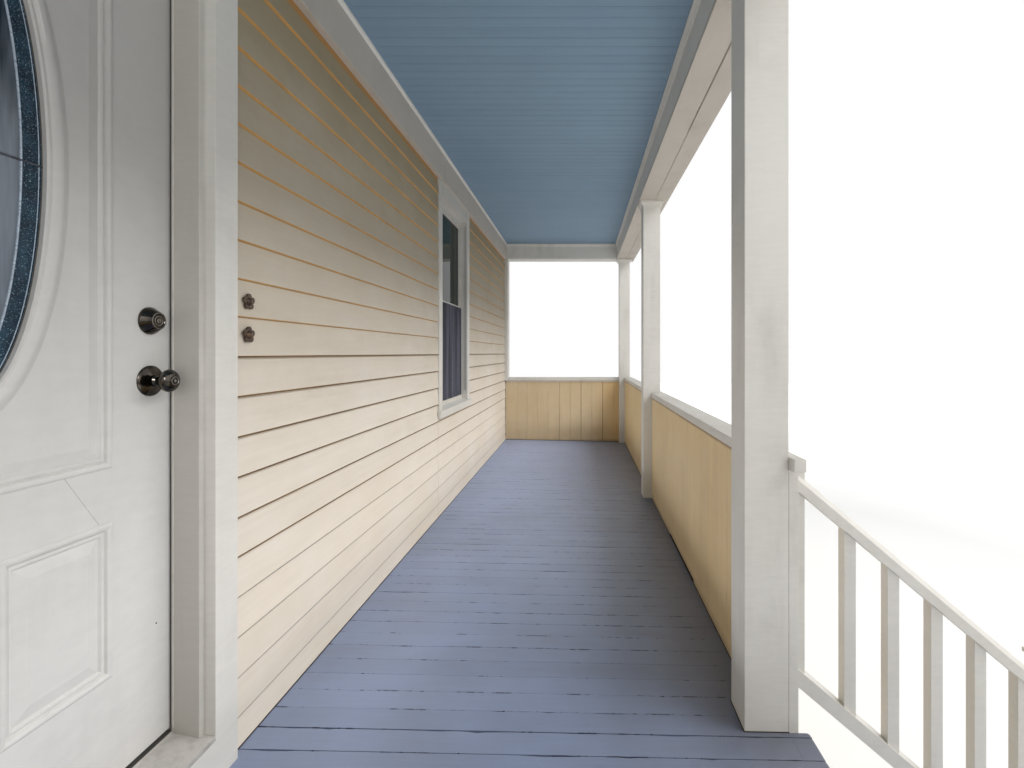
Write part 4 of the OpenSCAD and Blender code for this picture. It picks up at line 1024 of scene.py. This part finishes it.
def make_shingles():
    """Courses of tabs with narrow slots, each course lapped over the one below."""
    low, high = span("roof_shingles")
    low.y += EAVE_IN
    run = high.y - low.y
    eave_top = high.z - run * ROOF_PITCH
    thick = 0.012 * math.sqrt(1 + ROOF_PITCH * ROOF_PITCH)
    courses, tab_w, slot_w = 13, 0.305, 0.007
    tuck, bed_drop = 0.0035, 0.0045
    step = run / courses

    def slope_z(vertex):
        return eave_top + (vertex.co.y - SIDING_Y - low.y) * ROOF_PITCH

    tabs = []
    for course in range(courses):
        shift = (course % 2) * tab_w / 2 + random.uniform(-0.004, 0.004)
        y0 = low.y + course * step
        for a, b in board_row(low.x, high.x, tab_w, low.x + shift):
            sag = random.uniform(0.0, 0.0012)
            tabs.append(block((a + slot_w / 2, y0 + random.uniform(0, 0.003), -thick),
                              (b - slot_w / 2, y0 + step, -sag)))
            for vertex in tabs[-1].data.vertices:
                if vertex.co.z > -0.006 and vertex.co.y > SIDING_Y + y0 + step / 2:
                    vertex.co.z -= tuck
    roof = joined(tabs)
    ease(roof, 0.001, 1)
    for vertex in roof.data.vertices:
        vertex.co.z += slope_z(vertex)
    bed = solid_copy("roof_shingles")
    draw_in_eave(bed)
    for vertex in bed.data.vertices:
        if vertex.co.z > slope_z(vertex) - thick / 2:
            vertex.co.z -= bed_drop
    build([roof, bed], "shingle_tabs", "shingle_grit", "shingle", replaced=["roof_shingles"])


# Trim that keeps the CAD shape with rounded edges

def make_trim():
    upright, level = "trim_white", "trim_white_level"
    for node, name, width, material in (
            ("porch_posts", "post_casings", 0.0025, upright),
            ("front_beam", "front_beam_casing", 0.003, level),
            ("end_beams", "end_beam_casings", 0.003, level),
            ("beam_soffit", "beam_soffit_boards", 0.0015, "trim_sheltered"),
            ("wall_frieze", "frieze_board", 0.002, "trim_sheltered"),
            ("wall_pilasters", "corner_pilasters", 0.002, upright),
            ("eave_cornice", "fascia_and_soffit", 0.0015, level),
            ("roof_cheeks", "roof_end_boards", 0.0015, level),
            ("ceiling_moulding", "ceiling_cove", 0.0008, level),
            ("stair_rails", "raked_balustrades", 0.002, upright),
            ("stair_newels", "newel_posts", 0.002, upright),
            ("stair_stringers", "cut_stringers", 0.0015, upright),
            ("stair_risers", "riser_boards", 0.0012, level),
            ("door_frame", "door_jambs_and_casings", 0.0014, "trim_doorway"),
            ("window_frame", "window_casings", 0.001, "trim_window"),
            ("window_sashes", "sash_frames", 0.0012, "trim_window")):
        eased_copy(node, name, width, material, "trim_paint")
    for node, name in (("cap_rail_near", "cap_board_near"), ("cap_rail_main", "cap_boards_main")):
        eased_copy(node, name, 0.004, level, "trim_paint", "trim_weathered")
    for node, name in (("roof_deck", "roof_sheathing"), ("roof_framing", "rafters_and_joists")):
        eased_copy(node, name, 0.001, "sawn_wood", "bare_wood")
    eased_copy("stair_treads", "tread_boards", 0.0015, "tread_slate", "deck_paint")
    eased_copy("door_sill", "sloping_sill", 0.0012, "worn_sill", "sill_metal")
    eased_copy("window_screen", "insect_screen", 0.0008, "woven_screen", "screen_mesh")


def make_small_trim():
    """The bead and the filled joint under the beam, a dark strip of painted shadow over the joint's
    open part, and the fillet of the end wall's cap.
    """
    low, high = span("beam_soffit")
    z, deep = low.z, low.z + 0.012
    bead_w, crack_w = 0.016, 0.0028
    crack_x = 3.17
    joint_out, joint_in = -1.619, -1.613
    fillet_y, fillet_w, fillet_h = -1.524, 0.010, 0.018
    strips = [block((low.x, joint_out - bead_w, z - 0.0025), (high.x, joint_out, z)),
              block((crack_x, joint_out, z + 0.0012), (high.x, joint_in, deep)),
              block((low.x, joint_out, z + 0.001), (crack_x, joint_out + crack_w, deep)),
              block((FAR_POST_X - fillet_w, fillet_y, CAP_FOOT_Z - fillet_h),
                    (FAR_POST_X, 0.0, CAP_FOOT_Z))]
    build(strips, "beads_and_fillets", "trim_sheltered", "trim_paint", 0.0008)
    # A dark strip over the open part of the joint: painted shadow
    shade = block((low.x, joint_out, z + 0.0125), (crack_x, joint_in, z + 0.016))
    finish(shade, "soffit_joint_seal", "rubber_seal", "trim_paint")


def paint_nodes():
    """Finishes for the CAD nodes that stay as they are."""
    for node, material in (
            ("foundation_wall", "masonry_grit"), ("porch_piers", "masonry_grit"),
            ("floor_band", "sawn_wood"), ("deck_girders", "sawn_wood"),
            ("deck_joists", "sawn_wood"), ("wall_near", "smooth_plaster"),
            ("wall_over_door", "smooth_plaster"), ("wall_main", "smooth_plaster"),
            ("window_glass", "glass_dark")):
        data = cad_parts[node].data
        data.materials.clear()
        data.materials.append(bpy.data.materials[material])


# Door

def make_door():
    for node, name, material, slot, body, angle in (
            ("door_slab", "door_panels", "door_white", "door_paint", "door", 12.0),
            ("door_light_frame", "oval_light_frame", "door_white", "door_paint", "door", 28.0),
            ("door_hardware", "lock_and_hinges", "aged_lock_metal", "lock_metal", "door", 40.0),
            ("door_knob", "knob_pair", "aged_lock_metal", "lock_metal", "knob", 40.0),
            ("wall_rosettes", "wall_plates", "plate_bronze", "lock_metal", "porch", 40.0)):
        piece = solid_copy(node, quads=node != "door_slab")
        finish(piece, name, material, slot, body, [node], angle)


def ring_at(x, y, z, radius, thickness):
    """A round ring that faces the street."""
    bpy.ops.mesh.primitive_torus_add(location=at(x, y, z), rotation=(math.radians(90), 0, 0),
                                     major_radius=radius, minor_radius=thickness,
                                     major_segments=40, minor_segments=8)
    return placed()


def make_lock_faces():
    """Rings and key slots in the faces of the lock and the knob, and marks on the door. The rings
    are a painted highlight, the key slot and the dent dark marks of painted shade.
    """
    x, bolt, knob = LOCK
    bolt_y, knob_y = 0.0700, 0.0296
    slot_w, slot_h = 0.0022, 0.0088
    dent, dent_y = (1.617, 1.301), DOOR_Y - 0.0004
    groove_x, groove_y = 1.3165, 0.1016
    # Lighter rings and key cylinder: painted highlight
    edges = [ring_at(x, bolt_y, bolt, 0.0200, 0.0011),
             ring_at(x, bolt_y + 0.001, bolt, 0.0115, 0.0013),
             disc((x, bolt), 0.0060, bolt_y + 0.002, bolt_y - 0.0004)]
    # Dark key slot and dent: painted shade in their hollows
    slots = [block((x - slot_w / 2, bolt_y - 0.0008, bolt - slot_h / 2),
                   (x + slot_w / 2, bolt_y, bolt + slot_h / 2)),
             disc(dent, 0.0022, DOOR_Y + 0.001, dent_y, 10)]
    cracks = [rod((1.386, DOOR_Y, 1.733), (1.463, DOOR_Y, 1.608), 0.0005, 6),
              rod((groove_x, groove_y, 1.549), (groove_x, groove_y, 1.304), 0.0006, 6)]
    rings = [ring_at(x, knob_y, knob, 0.0102, 0.0009),
             disc((x, knob), 0.0036, knob_y + 0.001, knob_y - 0.0012, 20)]
    build(edges, "lock_face_rings", "lock_edges", "lock_metal", body="door")
    build(slots, "key_slot_and_dent", "joint_dirt", "door_paint", body="door")
    build(cracks, "door_cracks", "crack_grey", "door_paint", body="door")
    build(rings, "knob_face_rings", "lock_edges", "lock_metal", body="knob")


def oval_loop(middle, half, inset, y, depth):
    """A rounded lead along an upright oval, which lies inset from the edge of the glass."""
    bpy.ops.curve.primitive_bezier_circle_add(radius=1, location=at(middle.x, y, middle.z))
    bpy.context.object.rotation_euler = (math.radians(90), 0, 0)
    loop = placed((half.x - inset, half.z - inset, 1))
    loop.data.bevel_depth = depth
    loop.data.bevel_resolution = 2
    loop.data.resolution_u = 24
    bpy.ops.object.convert(target="MESH")
    return bpy.context.object


def oval_band(middle, half, band, face):
    """A flat ring of glass between two ovals."""
    steps = 96
    centre = at(middle.x, face, middle.z)
    bpy.ops.mesh.primitive_circle_add(vertices=steps, radius=1, location=centre,
                                      rotation=(math.radians(90), 0, 0))
    ring = placed((half.x, half.z, 1))
    bpy.ops.object.mode_set(mode="EDIT")
    bpy.ops.mesh.select_all(action="SELECT")
    bpy.ops.mesh.extrude_region_move()
    bpy.ops.object.mode_set(mode="OBJECT")
    inner = ((half.x - band) / half.x, (half.z - band) / half.z)
    for vertex in ring.data.vertices:
        if vertex.select:
            vertex.co.x = centre.x + (vertex.co.x - centre.x) * inner[0]
            vertex.co.z = centre.z + (vertex.co.z - centre.z) * inner[1]
    apply_modifier(ring, "SOLIDIFY", thickness=0.0012, offset=0.0)
    return ring


def make_door_glass():
    """The dark pane, the hammered band round it and the leads that hold them."""
    low, high = span("door_glass")
    middle = Vector(((low.x + high.x) / 2, 0, (low.z + high.z) / 2))
    rebate, band = 0.008, 0.039
    half = Vector(((high.x - low.x) / 2 - rebate, 0, (high.z - low.z) / 2 - rebate))
    lead_y, lead_w = 0.0024, 0.0022
    pane = solid_copy("door_glass")
    finish(pane, "door_pane", "glass_smoky", "glass", "door", ["door_glass"], 30.0)
    light_leads, dark_leads, seals, bands = [], [], [], []
    for face in (low.y, high.y):
        light_leads.append(oval_loop(middle, half, 0.0065, face, 0.0018))
        light_leads.append(oval_loop(middle, half, band, face, 0.0034))
        seals.append(oval_loop(middle, half, 0.001, face, 0.0026))
        for wide, tall in ((half.x, lead_w), (lead_w, half.z)):
            dark_leads.append(block((middle.x - wide, face - lead_y, middle.z - tall),
                                    (middle.x + wide, face + lead_y, middle.z + tall)))
        bands.append(oval_band(middle, half, band, face))
    build(light_leads, "glass_leads", "came_metal", "glass", body="door")
    build(dark_leads, "crossing_leads", "lead_dark", "glass", 0.0014, body="door")
    build(seals, "glass_seal", "rubber_seal", "glass", body="door")
    build(bands, "hammered_band", "glass_hammered", "glass", body="door")


def make_seals():
    """The weather bead on the door stops and the dark gaskets round the window's panes."""
    (left, right), (foot, head) = STOP_X, STOP_Z
    stop_y, bead, lip_y, lip_in = 0.0905, 0.0028, 0.0825, 0.0042
    beads = [rod((x, stop_y, foot), (x, stop_y, head), bead) for x in STOP_X]
    beads.append(rod((left, stop_y, head), (right, stop_y, head), bead))
    build(beads, "weather_bead", "rubber_seal", "trim_paint")
    lip_x = (left + lip_in, right - lip_in)
    lips = [rod((x, lip_y, foot), (x, lip_y, head), 0.0016) for x in lip_x]
    build(lips, "weather_lip", "caulk", "trim_paint")

    low, high = span("window_glass")
    wide, deep, stile = 0.004, 0.003, 0.082
    gaskets = []
    for z0, z1, y in ((FLOOR_Z + 1.574, high.z, low.y), (low.z, FLOOR_Z + 1.538, high.y - wide)):
        for x in (low.x, high.x - wide):
            gaskets.append(block((x, y - deep, z0), (x + wide, y, z1)))
        for z in (z0, z1 - wide):
            gaskets.append(block((low.x + wide, y - deep, z), (high.x - wide, y, z + wide)))
    for x in (WINDOW_X[0] + stile, WINDOW_X[1] - stile):
        for y in (0.012, 0.0235):
            gaskets.append(block((x - 0.0012, y, low.z), (x + 0.0012, y + 0.0025, high.z + 0.03)))
    build(gaskets, "pane_gaskets", "rubber_seal", "glass")


def sill_top(y):
    """Height of the sloping sill's top at a distance y from the siding."""
    foot, head = (-0.020, 0.965), (0.082, 0.987)
    return foot[1] + (head[1] - foot[1]) * (y - foot[0]) / (head[0] - foot[0])


def make_doorstep():
    """The dark gasket under the door, and dabs of caulk where the jambs stand on the sill."""
    top = span("door_sill")[1].z
    gap, door_y, inner_y = 0.002, 0.0855, 0.150
    jamb_w, jamb_y, jamb_deep = 0.029, 0.0885, 0.062
    gasket = block((STOP_X[0] + gap, door_y, top - 0.003), (STOP_X[1] - gap, inner_y, top + 0.001))
    dabs = []
    for edge, side in ((STOP_X[1], 1), (STOP_X[0], -1)):
        for share, size, long in ((0.1, 0.0042, 1.6), (0.42, 0.0034, 2.2), (0.86, 0.0030, 1.4)):
            y = jamb_y - jamb_deep * share
            place = at(edge + side * jamb_w * share, y, sill_top(y) + 0.001)
            bpy.ops.mesh.primitive_uv_sphere_add(segments=12, ring_count=8, location=place)
            dabs.append(placed((size * long, size * long, size)))
    build(dabs, "caulk_dabs", "caulk", "trim_paint")
    finish(gasket, "sill_gasket", "rubber_seal", "trim_paint")


# Surroundings

def make_stage():
    """The pale studio floor, which turns to plain white far from the porch."""
    tree, shader = two_tones("floor_pale", 0.9, 0.6, 2.0, (236, 236, 235), (240, 240, 239))
    away = put(tree, "ShaderNodeVectorMath", {0: coordinates(tree)}, operation="LENGTH")
    glow = ramp(tree, away.outputs["Value"], 4.5, 12.0)
    seen = put(tree, "ShaderNodeLightPath").outputs["Is Camera Ray"]
    shader.inputs["Emission Color"].default_value = (1, 1, 1, 1)
    tree.links.new(maths(tree, "MULTIPLY", glow, seen), shader.inputs["Emission Strength"])
    bpy.ops.mesh.primitive_plane_add(size=60, location=(0, 0, 0))
    floor = bpy.context.object
    floor.name = "floor"
    floor.data.materials.append(bpy.data.materials["floor_pale"])


def soft_lamp(name, place, size, aim, power, seen=True, spread=180):
    """A broad lamp that no picture shows. seen says whether gloss and glass show it."""
    lamp = bpy.data.lights.new(name, "AREA")
    lamp.shape = "RECTANGLE"
    lamp.size, lamp.size_y = size
    lamp.energy = power
    lamp.spread = math.radians(spread)
    holder = bpy.data.objects.new(name, lamp)
    holder.location = at(*place)
    holder.rotation_euler = Vector(aim).to_track_quat("-Z", "Y").to_euler()
    holder.visible_camera = False
    holder.visible_glossy = seen
    bpy.context.scene.collection.objects.link(holder)
    return holder


def light_porch():
    """Light from the sky over the street, a soft fill inside, and a white surrounding."""
    world = bpy.data.worlds.new("studio")
    bpy.context.scene.world = world
    world.use_nodes = True
    tree = world.node_tree
    rays = put(tree, "ShaderNodeLightPath").outputs
    shown = maths(tree, "MAXIMUM", rays["Is Glossy Ray"], rays["Is Transmission Ray"])
    shown = maths(tree, "MAXIMUM", rays["Is Camera Ray"], shown)
    background = tree.nodes["Background"]
    background.inputs["Color"].default_value = (1, 1, 1, 1)
    tree.links.new(ramp(tree, shown, 0.0, 1.0, 0.17, 1.0), background.inputs["Strength"])
    middle = FAR_POST_X / 2
    soft_lamp("sky_front", (middle, -6.2, 7.1), (11.0, 4.0), (0, 6.2, -6.3), 820, False)
    soft_lamp("sky_near_side", (-3.5, -4.5, 2.4), (4.0, 3.0), (5.5, 2.9, -0.8), 88, False)
    soft_lamp("sky_near_end", (-5.0, -1.5, 2.6), (4.0, 3.0), (1, 0, -0.1), 72, False)
    soft_lamp("sky_far_end", (FAR_POST_X + 5.0, -1.2, 1.0), (4.0, 1.5), (-1, 0, 0), 70, False)
    soft_lamp("sky_back", (middle, 8.0, 4.5), (10.0, 4.0), (0, -8.0, -2.8), 450)
    soft_lamp("fill_low", (middle, -1.38, 3.20), (6.8, 0.2), (0, 0.62, -1.0), 5, False, 70)
    soft_lamp("fill_ceiling", (middle, -0.8, 0.95), (6.6, 1.2), (0, 0, 1), 17, False)
    glint = soft_lamp("glint_on_metal", (-0.8, -3.2, 3.4), (0.6, 1.2), (2.4, 3.2, -1.5), 40)
    glint.visible_diffuse = False
    bpy.context.scene.view_settings.view_transform = "Standard"


make_camera()
for make_group in (make_brushed_paint, make_board_rows, make_grime, make_dirt_and_shade_band,
                   make_flaking, make_wood_grain, make_grit):
    make_group()
make_materials()
make_deck()
make_knee_walls()
make_house_siding()
make_cladding()
make_skirt()
make_ceiling()
make_shingles()
make_trim()
make_small_trim()
make_door()
make_door_glass()
make_lock_faces()
make_seals()
make_doorstep()
make_joint_dirt()
paint_nodes()
make_stage()
light_porch()
